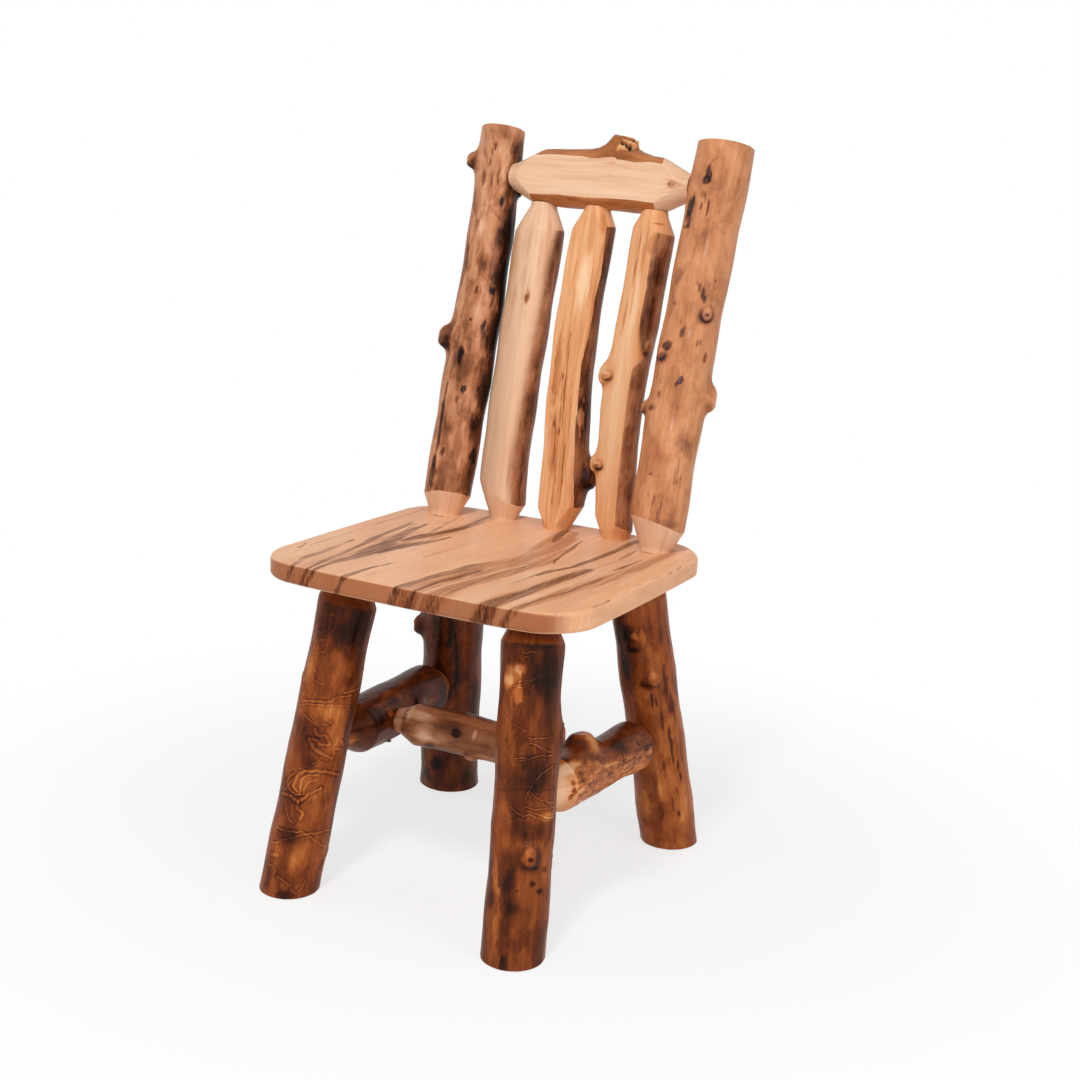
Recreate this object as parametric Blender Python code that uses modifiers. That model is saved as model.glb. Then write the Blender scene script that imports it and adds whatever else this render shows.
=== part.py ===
"""Rustic log side chair: a glued slab seat on four splayed log legs, with a leaning log back.

Every log is a naturally bent, peeled pole whose ends were run through a tenon cutter, which
leaves a round tenon and a cone-shaped shoulder. Metres, +Z up, front towards -Y. The origin is
on the floor under the middle of the chair's length and width.
"""
import math

import bmesh
import bpy
from mathutils import Matrix, Vector

# Clearances and the fineness of round shapes
CLEARANCE = 0.0003
OVERRUN = 0.010
MERGE_DISTANCE = 0.00005
LOG_SIDES = 16
TURNED_SIDES = 14
SCREW_SIDES = 6
SHARP_ANGLE = math.radians(35)
RING_PITCH = 0.062

# Seat
SEAT_HEIGHT = 0.457
SEAT_THICKNESS = 0.027
SEAT_WIDTH = 0.476
SEAT_DEPTH = 0.4605
SEAT_CORNER_RADIUS = 0.060
SEAT_FRONT_BOW = 0.019
SEAT_BACK_BOW = 0.023
SEAT_SIDE_BOW = 0.003
SEAT_BOW_POWER = 4
SEAT_ROUNDOVER = 0.0085
SEAT_FRONT_ROUNDOVER_SHARE = 0.4
SEAT_UNDER_ROUNDOVER_SHARE = 0.35
SEAT_CORNER_STEPS = 4
SEAT_EDGE_STEPS = 5
SEAT_DISH_DEPTH = 0.0045
SEAT_DISH_MARGIN = 0.024
SEAT_DISH_RING_SHARES = ((0.80, 0.35), (0.60, 0.80), (0.36, 1.0))
SEAT_SEAM_SHARES = (-0.203, 0.178, 0.436)

# Tenon cutter: one tenon size, the cone's slope, and how far its neck sinks into its socket
TENON_RADIUS = 0.0127
SHOULDER_SLOPE_SHARE = 0.48
SHOULDER_SINK = 0.0025

# Legs: their tops stand in from the feet of the back posts
LEG_NECK_RADIUS = 0.020
LEG_TENON_DEPTH = 0.014
FRONT_LEG_RADIUS = 0.0405
FRONT_LEG_SET_IN = 0.0335
FRONT_LEG_FRONT_INSET = 0.1044
FRONT_LEG_SPLAY_SHARE = 0.0778
FRONT_LEG_RAKE_SHARE = 0.183
REAR_LEG_RADIUS = 0.0415
REAR_LEG_SET_IN = 0.0275
REAR_LEG_BACK_INSET = 0.0826
REAR_LEG_SPLAY_SHARE = 0.1097
REAR_LEG_RAKE_SHARE = 0.2197

# Stretchers
STRETCHER_NECK_RADIUS = 0.0175
STRETCHER_TENON_DEPTH = 0.024
LEFT_STRETCHER_RADIUS = 0.0395
LEFT_STRETCHER_FRONT_HEIGHT = 0.2036
LEFT_STRETCHER_REAR_HEIGHT = 0.1902
RIGHT_STRETCHER_RADIUS = 0.0365
RIGHT_STRETCHER_FRONT_HEIGHT = 0.1961
RIGHT_STRETCHER_REAR_HEIGHT = 0.1706
CROSS_STRETCHER_RADIUS = 0.029
CROSS_NECK_RADIUS = 0.0145
CROSS_TENON_DEPTH = 0.020
CROSS_LEFT_SHARE = 0.385
CROSS_RIGHT_SHARE = 0.490

# Back posts, and the gap between the widest logs of the back
BACK_GAP = 0.0184
POST_NECK_RADIUS = 0.019
POST_TENON_DEPTH = 0.0115
POST_BACK_INSET = 0.071
POST_LEAN_SHARE = 0.2319
POST_SPLAY_SHARE = 0.008
LEFT_POST_RADIUS = 0.0355
LEFT_POST_RISE = 0.5599
RIGHT_POST_RADIUS = 0.0390
RIGHT_POST_RISE = 0.5523
POST_TOP_ROUNDING = 0.003

# Crest rail: its drop is measured from the shorter post's top to its middle
CREST_RADIUS = 0.0375
CREST_DROP = 0.0598
CREST_FLAT_DEPTH = 0.0115
CREST_NECK_RADIUS = 0.0175
CREST_TENON_DEPTH = 0.022
STUB_PLACE_SHARE = 0.150
STUB_RADIUS = 0.040
STUB_HEIGHT = 0.0295
STUB_PROFILE_SHARES = ((0.34, 1.0), (0.39, 0.85), (0.54, 0.65), (1.0, 0.3), (1.0, 0.0))
STUB_BREADTH_SHARE = 0.68
STUB_HOLLOW_RADIUS = 0.006
STUB_HOLLOW_DEPTH = 0.009

# Back spindles
SPINDLE_NECK_RADIUS = 0.0165
SPINDLE_TENON_DEPTH = 0.014
SPINDLE_TOP_TENON_DEPTH = 0.020
SPINDLE_BACK_INSET = 0.040
SPINDLE_BASE_SHARES = (-0.513, 0.006, 0.550)
SPINDLE_TOP_SHARES = (-0.500, -0.006, 0.500)
LEFT_SPINDLE_RADIUS = 0.0360
CENTRE_SPINDLE_RADIUS = 0.0322
RIGHT_SPINDLE_RADIUS = 0.0298

# Wood screws: a head sits this share of a log's radius out from its middle, and a screw
# crosses a tenon at this share of the tenon's depth
SCREW_HEAD_RADIUS = 0.0042
SCREW_SHANK_RADIUS = 0.0021
SCREW_HEAD_HEIGHT = 0.0030
SCREW_TIP_LENGTH = 0.0060
SCREW_SINK = 0.0010
SEAT_SCREW_LENGTH = 0.035
POCKET_SCREW_LENGTH = 0.032
CREST_SCREW_LENGTH = 0.040
STRETCHER_SCREW_LENGTH = 0.050
TOE_SCREW_LENGTH = 0.034
CROSS_SCREW_LENGTH = 0.036
TOE_DROP = 0.031
SCREW_SEAT_SHARE = 0.95
SCREW_TENON_SHARE = 0.8
POCKET_TILT = math.radians(62.0)
POCKET_DISTANCE = 0.0316
POCKET_SINK = 0.0070

# Knots: how much wider the flare is than the knot, and the rounding of its end
KNOT_FLARE_SHARE = 1.55
KNOT_ROUNDING_SHARE = 0.35
KNOT_SIDES = 8

# Shape of each pole along its length: share of the length, share of the radius, and the
# sway of its middle along local X and Y as shares of the radius
FRONT_LEFT_LEG_SHARES = (
    (0.0, 1.01, -0.04, 0.0), (0.2, 1.0, -0.02, 0.02), (0.45, 0.98, 0.0, 0.0),
    (0.7, 0.97, 0.05, -0.02), (1.0, 0.97, 0.05, 0.0))
FRONT_RIGHT_LEG_SHARES = (
    (0.0, 1.03, 0.05, 0.0), (0.2, 1.0, 0.08, 0.02), (0.45, 0.99, 0.10, 0.0), (0.62, 1.02, 0.09, 0.0),
    (0.75, 0.98, 0.03, 0.0), (1.0, 1.0, 0.0, 0.0))
REAR_RIGHT_LEG_SHARES = (
    (0.0, 1.03, 0.0, 0.0), (0.3, 1.0, 0.03, 0.02), (0.6, 0.98, 0.05, -0.02), (1.0, 0.95, 0.06, 0.0))
REAR_LEFT_LEG_SHARES = (
    (0.0, 1.14, -0.02, 0.0), (0.12, 1.10, -0.02, 0.0), (0.35, 1.10, 0.0, 0.02),
    (0.65, 1.10, 0.02, 0.0), (1.0, 1.09, 0.02, 0.0))
LEFT_STRETCHER_SHARES = (
    (0.0, 1.0, -0.05, 0.0), (0.35, 1.0, -0.12, 0.0), (0.65, 0.98, -0.05, 0.02), (1.0, 1.02, -0.05, 0.0))
RIGHT_STRETCHER_SHARES = (
    (0.0, 1.05, 0.0, 0.0), (0.3, 1.02, -0.04, 0.0), (0.55, 0.92, -0.02, 0.03),
    (0.8, 0.99, 0.03, 0.0), (1.0, 1.0, 0.0, 0.0))
CROSS_STRETCHER_SHARES = (
    (0.0, 1.02, -0.14, 0.0), (0.4, 1.0, 0.05, 0.02), (0.7, 0.97, -0.03, 0.0), (1.0, 0.98, 0.0, 0.0))
LEFT_POST_SHARES = (
    (0.0, 1.0, 0.02, 0.0), (0.15, 1.02, 0.04, 0.02), (0.45, 1.02, 0.16, 0.0),
    (0.75, 0.95, 0.22, -0.02), (0.92, 0.95, 0.10, 0.0), (1.0, 0.94, 0.07, 0.0))
RIGHT_POST_SHARES = (
    (0.0, 1.0, -0.05, 0.0), (0.2, 1.02, -0.12, 0.0), (0.4, 1.03, -0.12, 0.02),
    (0.62, 1.02, -0.05, 0.0), (0.82, 1.04, 0.03, 0.0), (1.0, 1.04, 0.09, 0.0))
CREST_SHARES = (
    (0.0, 0.98, 0.0, 0.0), (0.3, 1.03, 0.02, 0.0), (0.6, 1.02, 0.0, 0.0), (1.0, 0.98, -0.02, 0.0))
LEFT_SPINDLE_SHARES = (
    (0.0, 0.93, -0.03, 0.0), (0.12, 0.97, -0.25, 0.0), (0.3, 1.0, -0.27, 0.0),
    (0.6, 1.0, -0.16, 0.0), (1.0, 1.0, 0.02, 0.0))
CENTRE_SPINDLE_SHARES = (
    (0.0, 1.04, 0.08, 0.0), (0.15, 1.05, 0.04, 0.0), (0.4, 1.0, -0.23, 0.0),
    (0.65, 0.97, -0.26, 0.0), (1.0, 0.98, 0.06, 0.0))
RIGHT_SPINDLE_SHARES = (
    (0.0, 0.95, -0.10, 0.0), (0.14, 0.97, -0.29, 0.0), (0.37, 1.02, -0.50, 0.0),
    (0.62, 1.02, -0.18, 0.0), (1.0, 1.03, 0.16, 0.0))

# Branch knots: share of the length, angle round the log from local X in degrees, then the
# radius and the reach beyond the bark as shares of the log's radius
FRONT_LEFT_LEG_KNOT_SHARES = ((0.72, 150.0, 0.26, 0.10),)
FRONT_RIGHT_LEG_KNOT_SHARES = ((0.305, -49.0, 0.26, 0.12), (0.640, 30.0, 0.34, 0.10))
REAR_RIGHT_LEG_KNOT_SHARES = ((0.649, -52.0, 0.22, 0.14),)
REAR_LEFT_LEG_KNOT_SHARES = ((0.652, -146.0, 0.28, 0.34), (0.30, 60.0, 0.22, 0.10))
LEFT_STRETCHER_KNOT_SHARES = ((0.55, 75.0, 0.22, 0.08),)
RIGHT_STRETCHER_KNOT_SHARES = ((0.400, -8.0, 0.52, 0.46),)
CROSS_STRETCHER_KNOT_SHARES = ((0.482, 135.0, 0.22, 0.20),)
LEFT_POST_KNOT_SHARES = (
    (0.448, -140.0, 0.36, 0.48), (0.905, -146.0, 0.26, 0.42), (0.846, 24.0, 0.20, 0.18))
RIGHT_POST_KNOT_SHARES = (
    (0.582, -42.0, 0.22, 0.08), (0.478, -120.0, 0.26, 0.07), (0.385, 18.0, 0.38, 0.34),
    (0.343, -154.0, 0.18, 0.20))
LEFT_SPINDLE_KNOT_SHARES = ()
CENTRE_SPINDLE_KNOT_SHARES = ((0.165, 14.0, 0.50, 0.46),)
RIGHT_SPINDLE_KNOT_SHARES = (
    (0.560, -30.0, 0.30, 0.20), (0.460, -156.0, 0.42, 0.66), (0.205, -156.0, 0.36, 0.60))

# The spindles' dressed front faces: angle of the face's normal from local X in degrees, and
# the depth that is planed off as a share of the radius
LEFT_SPINDLE_FLAT_SHARES = (-112.0, 0.16)
CENTRE_SPINDLE_FLAT_SHARES = (-97.0, 0.40)
RIGHT_SPINDLE_FLAT_SHARES = (-110.0, 0.26)

# Lumps of the peeled surface: size as a share of the radius, waves round and along the log
LUMP_SHARE = 0.018
LUMP_LENGTH = 0.110
OVAL_SHARE = 0.016

X_AXIS = Vector((1, 0, 0))
Z_AXIS = Vector((0, 0, 1))

# Places worked out from the sizes, in the seat's own frame: origin on the floor under its middle
SEAT_UNDERSIDE = SEAT_HEIGHT - SEAT_THICKNESS
HALF_WIDTH = SEAT_WIDTH / 2
HALF_DEPTH = SEAT_DEPTH / 2
FRONT_FOOT_Y = (-HALF_DEPTH + FRONT_LEG_FRONT_INSET) - SEAT_UNDERSIDE * FRONT_LEG_RAKE_SHARE
SPINDLE_WIDTHS = 2 * (LEFT_SPINDLE_RADIUS + CENTRE_SPINDLE_RADIUS + RIGHT_SPINDLE_RADIUS)
POST_BASE_X = (LEFT_POST_RADIUS + SPINDLE_WIDTHS + RIGHT_POST_RADIUS) / 2 + 2 * BACK_GAP
CREST_RISE = min(LEFT_POST_RISE, RIGHT_POST_RISE) - CREST_DROP
POST_BASE_Y = HALF_DEPTH - POST_BACK_INSET
POST_TOP_Y = POST_BASE_Y + LEFT_POST_RISE * POST_LEAN_SHARE
BACK_BASE_HEIGHT = SEAT_HEIGHT - SEAT_DISH_DEPTH / 2
CHAIR_MIDDLE_Y = (FRONT_FOOT_Y - FRONT_LEG_RADIUS + POST_TOP_Y + LEFT_POST_RADIUS) / 2

WOOD_COLOURS = {
    "maple": ((0.78, 0.50, 0.31, 1.0), 0.30),
    "pale_aspen": ((0.70, 0.42, 0.24, 1.0), 0.32),
    "brown_aspen": ((0.34, 0.15, 0.07, 1.0), 0.28),
    "dark_aspen": ((0.16, 0.06, 0.025, 1.0), 0.28),
}


def clear_scene():
    """Start from an empty scene, with one collection for the chair and one for the cutters."""
    for old in list(bpy.data.objects):
        bpy.data.objects.remove(old, do_unlink=True)
    collections = []
    for name in ("dining_side_chair", "cutters"):
        collection = bpy.data.collections.new(name)
        bpy.context.scene.collection.children.link(collection)
        collections.append(collection)
    frame = bpy.data.objects.new("chair_frame", None)
    frame.location = (0, -CHAIR_MIDDLE_Y, 0)
    collections[1].objects.link(frame)
    frame.hide_render = True
    return collections[0], collections[1], frame


CHAIR, CUTTERS, CHAIR_FRAME = clear_scene()


def wood(name):
    """Principled wood under clear lacquer, shared by the pieces of one colour."""
    material = bpy.data.materials.get(name)
    if material is None:
        material = bpy.data.materials.new(name)
        material.use_nodes = True
        colour, roughness = WOOD_COLOURS[name]
        shader = material.node_tree.nodes["Principled BSDF"]
        shader.inputs["Base Color"].default_value = colour
        shader.inputs["Roughness"].default_value = roughness
        shader.inputs["Metallic"].default_value = 0
        shader.inputs["Coat Weight"].default_value = 1
        material.diffuse_color = colour
    return material


def own_material(obj, base):
    """Give a piece its own copy of a base material."""
    material = base.copy()
    material.name = obj.name + "_finish"
    obj.data.materials.clear()
    obj.data.materials.append(material)


def steel():
    """Zinc-plated screw steel."""
    material = bpy.data.materials.get("screw_steel")
    if material is None:
        material = bpy.data.materials.new("screw_steel")
        material.use_nodes = True
        shader = material.node_tree.nodes["Principled BSDF"]
        shader.inputs["Base Color"].default_value = (0.62, 0.60, 0.55, 1.0)
        shader.inputs["Metallic"].default_value = 1
        shader.inputs["Roughness"].default_value = 0.35
    return material


def add_object(name, mesh, collection, place=None):
    """Put a mesh in a collection, under the chair's frame, at a place in the seat's frame."""
    obj = bpy.data.objects.new(name, mesh)
    collection.objects.link(obj)
    obj.parent = CHAIR_FRAME
    if place is not None:
        obj.matrix_basis = place
    if collection is CUTTERS:
        obj.hide_render = True
        obj.display_type = "WIRE"
    return obj


def evaluated_mesh(obj):
    """The mesh that an object's curve or modifiers make."""
    bpy.context.view_layer.update()
    depsgraph = bpy.context.evaluated_depsgraph_get()
    return bpy.data.meshes.new_from_object(obj.evaluated_get(depsgraph))


def weld(mesh):
    """Join points that lie together and point all faces outwards."""
    shape = bmesh.new()
    shape.from_mesh(mesh)
    bmesh.ops.remove_doubles(shape, verts=shape.verts, dist=MERGE_DISTANCE)
    bmesh.ops.recalc_face_normals(shape, faces=shape.faces)
    shape.to_mesh(mesh)
    shape.free()


def turned(name, profile, sides):
    """A solid of revolution about local Z from (radius, height) pairs, top to bottom."""
    line = bpy.data.meshes.new(name)
    points = [(radius, 0, height) for radius, height in profile]
    line.from_pydata(points, [(i, i + 1) for i in range(len(points) - 1)], [])
    blank = bpy.data.objects.new(name, line)
    CUTTERS.objects.link(blank)
    screw = blank.modifiers.new("Turn", "SCREW")
    screw.axis = "Z"
    screw.steps = screw.render_steps = sides
    screw.use_merge_vertices = True
    screw.merge_threshold = MERGE_DISTANCE
    mesh = evaluated_mesh(blank)
    bpy.data.objects.remove(blank, do_unlink=True)
    bpy.data.meshes.remove(line)
    weld(mesh)
    return mesh


def box(name, low, high, collection, place=None):
    """A cube primitive stretched between two corners."""
    mesh = bpy.data.meshes.new(name)
    shape = bmesh.new()
    bmesh.ops.create_cube(shape, size=1)
    size = Vector(high) - Vector(low)
    middle = (Vector(high) + Vector(low)) / 2
    bmesh.ops.scale(shape, verts=shape.verts, vec=size)
    bmesh.ops.translate(shape, verts=shape.verts, vec=middle)
    shape.to_mesh(mesh)
    shape.free()
    return add_object(name, mesh, collection, place)


def boolean(obj, tool, operation):
    """Join, cut or keep the overlap with another solid."""
    modifier = obj.modifiers.new(operation.title() + " " + tool.name, "BOOLEAN")
    modifier.object = tool
    modifier.operation = operation
    modifier.solver = "EXACT"
    return modifier


def along(start, end, side):
    """Frame with its origin at start, local Z towards end and local X nearest to side."""
    axis = (end - start).normalized()
    across = (side - axis * side.dot(axis)).normalized()
    frame = Matrix((across, axis.cross(across), axis)).transposed().to_4x4()
    frame.translation = start
    return frame


def interpolate(rows, share):
    """Smooth value of each column of a shape table at a share of the length."""
    below = max((i for i in range(len(rows) - 1) if rows[i][0] <= share), default=0)
    low, high = rows[below], rows[below + 1]
    before = rows[max(below - 1, 0)]
    after = rows[min(below + 2, len(rows) - 1)]
    t = (share - low[0]) / (high[0] - low[0])
    values = []
    for b, l, h, a in zip(before[1:], low[1:], high[1:], after[1:]):
        bend = (h - b) * t + (2 * b - 5 * l + 4 * h - a) * t * t + (3 * l - b - 3 * h + a) * t ** 3
        values.append(l + bend / 2)
    return values


class Log:
    """One pole: its frame, its two ends, the cutter that shapes them and the pole itself."""

    def __init__(self, name, start, end, side, radius, shares, finish):
        self.name = name
        self.length = (end - start).length
        self.frame = along(start, end, side)
        self.radius = radius
        self.shares = shares
        self.finish = finish
        self.head = None
        self.foot = None

    def middle(self, share):
        """Centre of the log and its radius at a share of its length, in its own frame."""
        size, sway_x, sway_y = interpolate(self.shares, share)
        centre = Vector((sway_x * self.radius, sway_y * self.radius, share * self.length))
        return centre, size * self.radius

    def point(self, share):
        """Point on the straight line between the ends, in the seat's frame."""
        return self.frame @ Vector((0, 0, share * self.length))

    def envelope_profile(self):
        """Outline that the tenon cutter leaves, widest in the middle, from top to bottom."""
        reach = 2 * self.radius
        run = reach / SHOULDER_SLOPE_SHARE
        if self.head:
            neck, depth, inset = self.head
            shoulder = self.length - inset
            rows = [(0, shoulder + depth), (TENON_RADIUS, shoulder + depth)]
            rows += [(TENON_RADIUS, shoulder), (neck, shoulder), (neck + reach, shoulder - run)]
        else:
            rows = [(0, self.length + OVERRUN), (reach, self.length + OVERRUN)]
        if self.foot:
            neck, depth, inset = self.foot
            end = [(neck + reach, inset + run), (neck, inset), (TENON_RADIUS, inset)]
            end += [(TENON_RADIUS, inset - depth), (0, inset - depth)]
        else:
            end = [(reach, -2 * OVERRUN), (0, -2 * OVERRUN)]
        if self.head and self.foot and rows[-1][1] < end[0][1]:
            rows, end = self.meeting_shoulders(rows, end)
        return rows + end

    def meeting_shoulders(self, rows, end):
        """Cut both cones short where they would pass each other."""
        head_neck, head_z = rows[-2]
        foot_neck, foot_z = end[1]
        height = (head_z - foot_z + (head_neck - foot_neck) / SHOULDER_SLOPE_SHARE) / 2
        widest = foot_neck + height * SHOULDER_SLOPE_SHARE
        return rows[:-1] + [(widest, foot_z + height)], end[1:]

    def socket_cutter(self, end):
        """Cutter that bores this log's tenon and shoulder into the piece that it meets."""
        neck, depth, inset = self.head if end == "head" else self.foot
        reach = 2 * self.radius
        run = reach / SHOULDER_SLOPE_SHARE
        rows = [(0, depth + CLEARANCE), (TENON_RADIUS + CLEARANCE, depth + CLEARANCE)]
        rows += [(TENON_RADIUS + CLEARANCE, CLEARANCE), (neck + CLEARANCE, CLEARANCE)]
        rows += [(neck + CLEARANCE, 0), (neck + reach + CLEARANCE, -run), (0, -run)]
        mesh = turned(self.name + "_" + end + "_socket", rows, TURNED_SIDES)
        if end == "head":
            place = self.frame @ Matrix.Translation((0, 0, self.length - inset))
        else:
            flip = Matrix.Rotation(math.pi, 4, "X")
            place = self.frame @ Matrix.Translation((0, 0, inset)) @ flip
        return add_object(self.name + "_" + end + "_socket", mesh, CUTTERS, place)

    def blank(self):
        """The natural pole: a curve through its swaying middle, welded and lumped a little."""
        low, high = -OVERRUN, self.length
        if self.foot:
            low += self.foot[2] - self.foot[1]
        if self.head:
            high += self.head[1] - self.head[2] + OVERRUN
        count = max(4, round((high - low) / RING_PITCH))
        curve = bpy.data.curves.new(self.name, "CURVE")
        curve.dimensions = "3D"
        curve.bevel_depth = self.radius
        curve.bevel_resolution = LOG_SIDES // 2 - 2
        curve.use_fill_caps = True
        spline = curve.splines.new("POLY")
        heights = [low + (high - low) * i / count for i in range(count + 1)]
        if self.head is None:
            heights[-1:] = [high - POST_TOP_ROUNDING, high]
        spline.points.add(len(heights) - 1)
        for point, height in zip(spline.points, heights):
            share = min(max(height / self.length, 0), 1)
            centre, radius = self.middle(share)
            point.co = (centre.x, centre.y, height, 1)
            point.radius = radius / self.radius
        if self.head is None:
            spline.points[-1].radius -= POST_TOP_ROUNDING / self.radius
        pole = bpy.data.objects.new(self.name, curve)
        CUTTERS.objects.link(pole)
        mesh = evaluated_mesh(pole)
        bpy.data.objects.remove(pole, do_unlink=True)
        weld(mesh)
        phase = len(self.name) * self.radius / RING_PITCH
        for vertex in mesh.vertices:
            x, y, z = vertex.co
            angle = math.atan2(y, x)
            wave = math.sin(2 * math.pi * z / LUMP_LENGTH + 2 * angle + phase)
            swell = 1 + LUMP_SHARE * wave + OVAL_SHARE * math.cos(2 * angle + phase)
            vertex.co = (x * swell, y * swell, z)
        return mesh

    def knot(self, number, row):
        """A branch stub: a short cone that flares into the bark, rounded at its end."""
        share, angle, size_share, reach_share = row
        centre, radius = self.middle(share)
        size = size_share * self.radius
        reach = radius * (1 + reach_share)
        root = radius / 2
        mesh = bpy.data.meshes.new(self.name + "_knot_" + str(number))
        shape = bmesh.new()
        bmesh.ops.create_cone(
            shape, cap_ends=True, segments=KNOT_SIDES, radius1=size * KNOT_FLARE_SHARE,
            radius2=size, depth=reach - root)
        rim = [edge for edge in shape.edges if all(v.co.z > 0 for v in edge.verts)]
        bmesh.ops.bevel(
            shape, geom=rim, offset=size * KNOT_ROUNDING_SHARE, segments=1, affect="EDGES", profile=0.5)
        shape.to_mesh(mesh)
        shape.free()
        turn = Matrix.Rotation(math.radians(angle), 4, "Z") @ Matrix.Rotation(math.pi / 2, 4, "Y")
        place = self.frame @ Matrix.Translation(centre) @ turn
        place = place @ Matrix.Translation((0, 0, (root + reach) / 2))
        return add_object(mesh.name, mesh, CUTTERS, place)

    def build(self, knot_rows):
        """Cut the tenons on the blank, with its knots, and put it in the chair."""
        self.body = add_object(self.name, self.blank(), CHAIR, self.frame)
        own_material(self.body, wood(self.finish))
        for number, row in enumerate(knot_rows):
            boolean(self.body, self.knot(number, row), "UNION")
        profile = self.envelope_profile()
        envelope = turned(self.name + "_envelope", profile, TURNED_SIDES)
        cutter = add_object(self.name + "_envelope", envelope, CUTTERS, self.frame)
        boolean(self.body, cutter, "INTERSECT")
        return self.body

    def plane_face(self, angle, depth, low, high):
        """Plane a flat along the log, square to an angle round it."""
        face = self.radius - depth
        turn = self.frame @ Matrix.Rotation(math.radians(angle), 4, "Z")
        reach = 2 * self.radius
        name = self.name + "_plane"
        cutter = box(name, (face, -reach, low), (reach, reach, high), CUTTERS, turn)
        boolean(self.body, cutter, "DIFFERENCE")


def screw_profile(extra, length, run_out):
    """Countersunk wood screw, head up at z 0, with a clearance and a run-out above the head."""
    head = SCREW_HEAD_RADIUS + extra
    shank = SCREW_SHANK_RADIUS + extra
    rows = [(0, run_out), (head, run_out)]
    if run_out:
        rows += [(head, -extra)]
    rows += [(shank, -SCREW_HEAD_HEIGHT - extra)]
    rows += [(shank, SCREW_TIP_LENGTH - length), (0, -length - extra)]
    return rows


def add_screw(name, head, aim, length, pieces, run_out=OVERRUN):
    """A screw from its head's point towards aim, and its countersunk pilot hole in each piece."""
    axis = (aim - head).normalized()
    side = X_AXIS if abs(axis.x) < abs(axis.z) else Z_AXIS
    place = along(head + axis * SCREW_SINK, head - axis, side)
    screw = add_object(name, turned(name, screw_profile(0, length, 0), SCREW_SIDES), CHAIR, place)
    own_material(screw, steel())
    pilot = turned(name + "_pilot", screw_profile(CLEARANCE, length, run_out), SCREW_SIDES)
    cutter = add_object(name + "_pilot", pilot, CUTTERS, place)
    for piece in pieces:
        boolean(piece, cutter, "DIFFERENCE")
    return screw


def seat_outline():
    """Rounded rectangle whose sides bow outwards, counter-clockwise from the front right."""
    half_x = HALF_WIDTH - SEAT_SIDE_BOW
    front = HALF_DEPTH - SEAT_FRONT_BOW
    back = HALF_DEPTH - SEAT_BACK_BOW
    radius = SEAT_CORNER_RADIUS
    corners = ((1, -front, -90), (1, back, 0), (-1, back, 90), (-1, -front, 180))
    points = []
    for side, depth, start in corners:
        centre_x = side * (half_x - radius)
        centre_y = depth - math.copysign(radius, depth)
        for i in range(SEAT_CORNER_STEPS + 1):
            angle = math.radians(start + 90 * i / SEAT_CORNER_STEPS)
            points.append((centre_x + radius * math.cos(angle), centre_y + radius * math.sin(angle)))
        if start in (-90, 90):
            continue
        reach = 2 * (half_x - radius)
        for i in range(1, SEAT_EDGE_STEPS):
            points.append((centre_x - side * reach * i / SEAT_EDGE_STEPS, depth))
    outline = []
    for x, y in points:
        bow = SEAT_FRONT_BOW if y < 0 else SEAT_BACK_BOW
        share = min(abs(x) / half_x, 1)
        edge = front if y < 0 else back
        shifted = y + (y / edge) * bow * (1 - share ** SEAT_BOW_POWER)
        wide = x + (x / half_x) * SEAT_SIDE_BOW * (1 - (y / HALF_DEPTH) ** 2)
        outline.append((wide, shifted))
    return outline


def build_slab():
    """The whole glued seat as a guide: extruded outline, rounded edges and a shallow dish."""
    shape = bmesh.new()
    rim = [shape.verts.new((x, y, SEAT_UNDERSIDE)) for x, y in seat_outline()]
    underside = shape.faces.new(rim)
    walls = bmesh.ops.extrude_face_region(shape, geom=[underside], use_keep_orig=True)
    raised = [part for part in walls["geom"] if isinstance(part, bmesh.types.BMVert)]
    bmesh.ops.translate(shape, verts=raised, vec=(0, 0, SEAT_THICKNESS))
    bmesh.ops.recalc_face_normals(shape, faces=shape.faces)
    weight = shape.edges.layers.float.new("bevel_weight_edge")
    for edge in shape.edges:
        low, high = (vertex.co for vertex in edge.verts)
        if abs(low.z - high.z) > SEAT_THICKNESS / 2:
            continue
        forward = max(0, -(low.y + high.y) / SEAT_DEPTH) ** SEAT_BOW_POWER
        if low.z > SEAT_UNDERSIDE:
            edge[weight] = 1 - (1 - SEAT_FRONT_ROUNDOVER_SHARE) * forward
        else:
            edge[weight] = SEAT_UNDER_ROUNDOVER_SHARE + (1 - SEAT_UNDER_ROUNDOVER_SHARE) * forward
    top = max(shape.faces, key=lambda face: face.calc_center_median().z)
    bmesh.ops.inset_region(shape, faces=[top], thickness=SEAT_DISH_MARGIN, use_even_offset=True)
    edge = [vertex.co.copy() for vertex in top.verts]
    for size_share, depth_share in SEAT_DISH_RING_SHARES:
        bmesh.ops.inset_region(shape, faces=[top], thickness=0)
        for vertex, place in zip(top.verts, edge):
            height = place.z - depth_share * SEAT_DISH_DEPTH
            vertex.co = (place.x * size_share, place.y * size_share, height)
    mesh = bpy.data.meshes.new("seat_slab")
    shape.to_mesh(mesh)
    shape.free()
    slab = add_object("seat_slab", mesh, CUTTERS)
    bevel = slab.modifiers.new("Roundover", "BEVEL")
    bevel.limit_method = "WEIGHT"
    bevel.width = SEAT_ROUNDOVER
    bevel.segments = 2
    return slab


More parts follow.
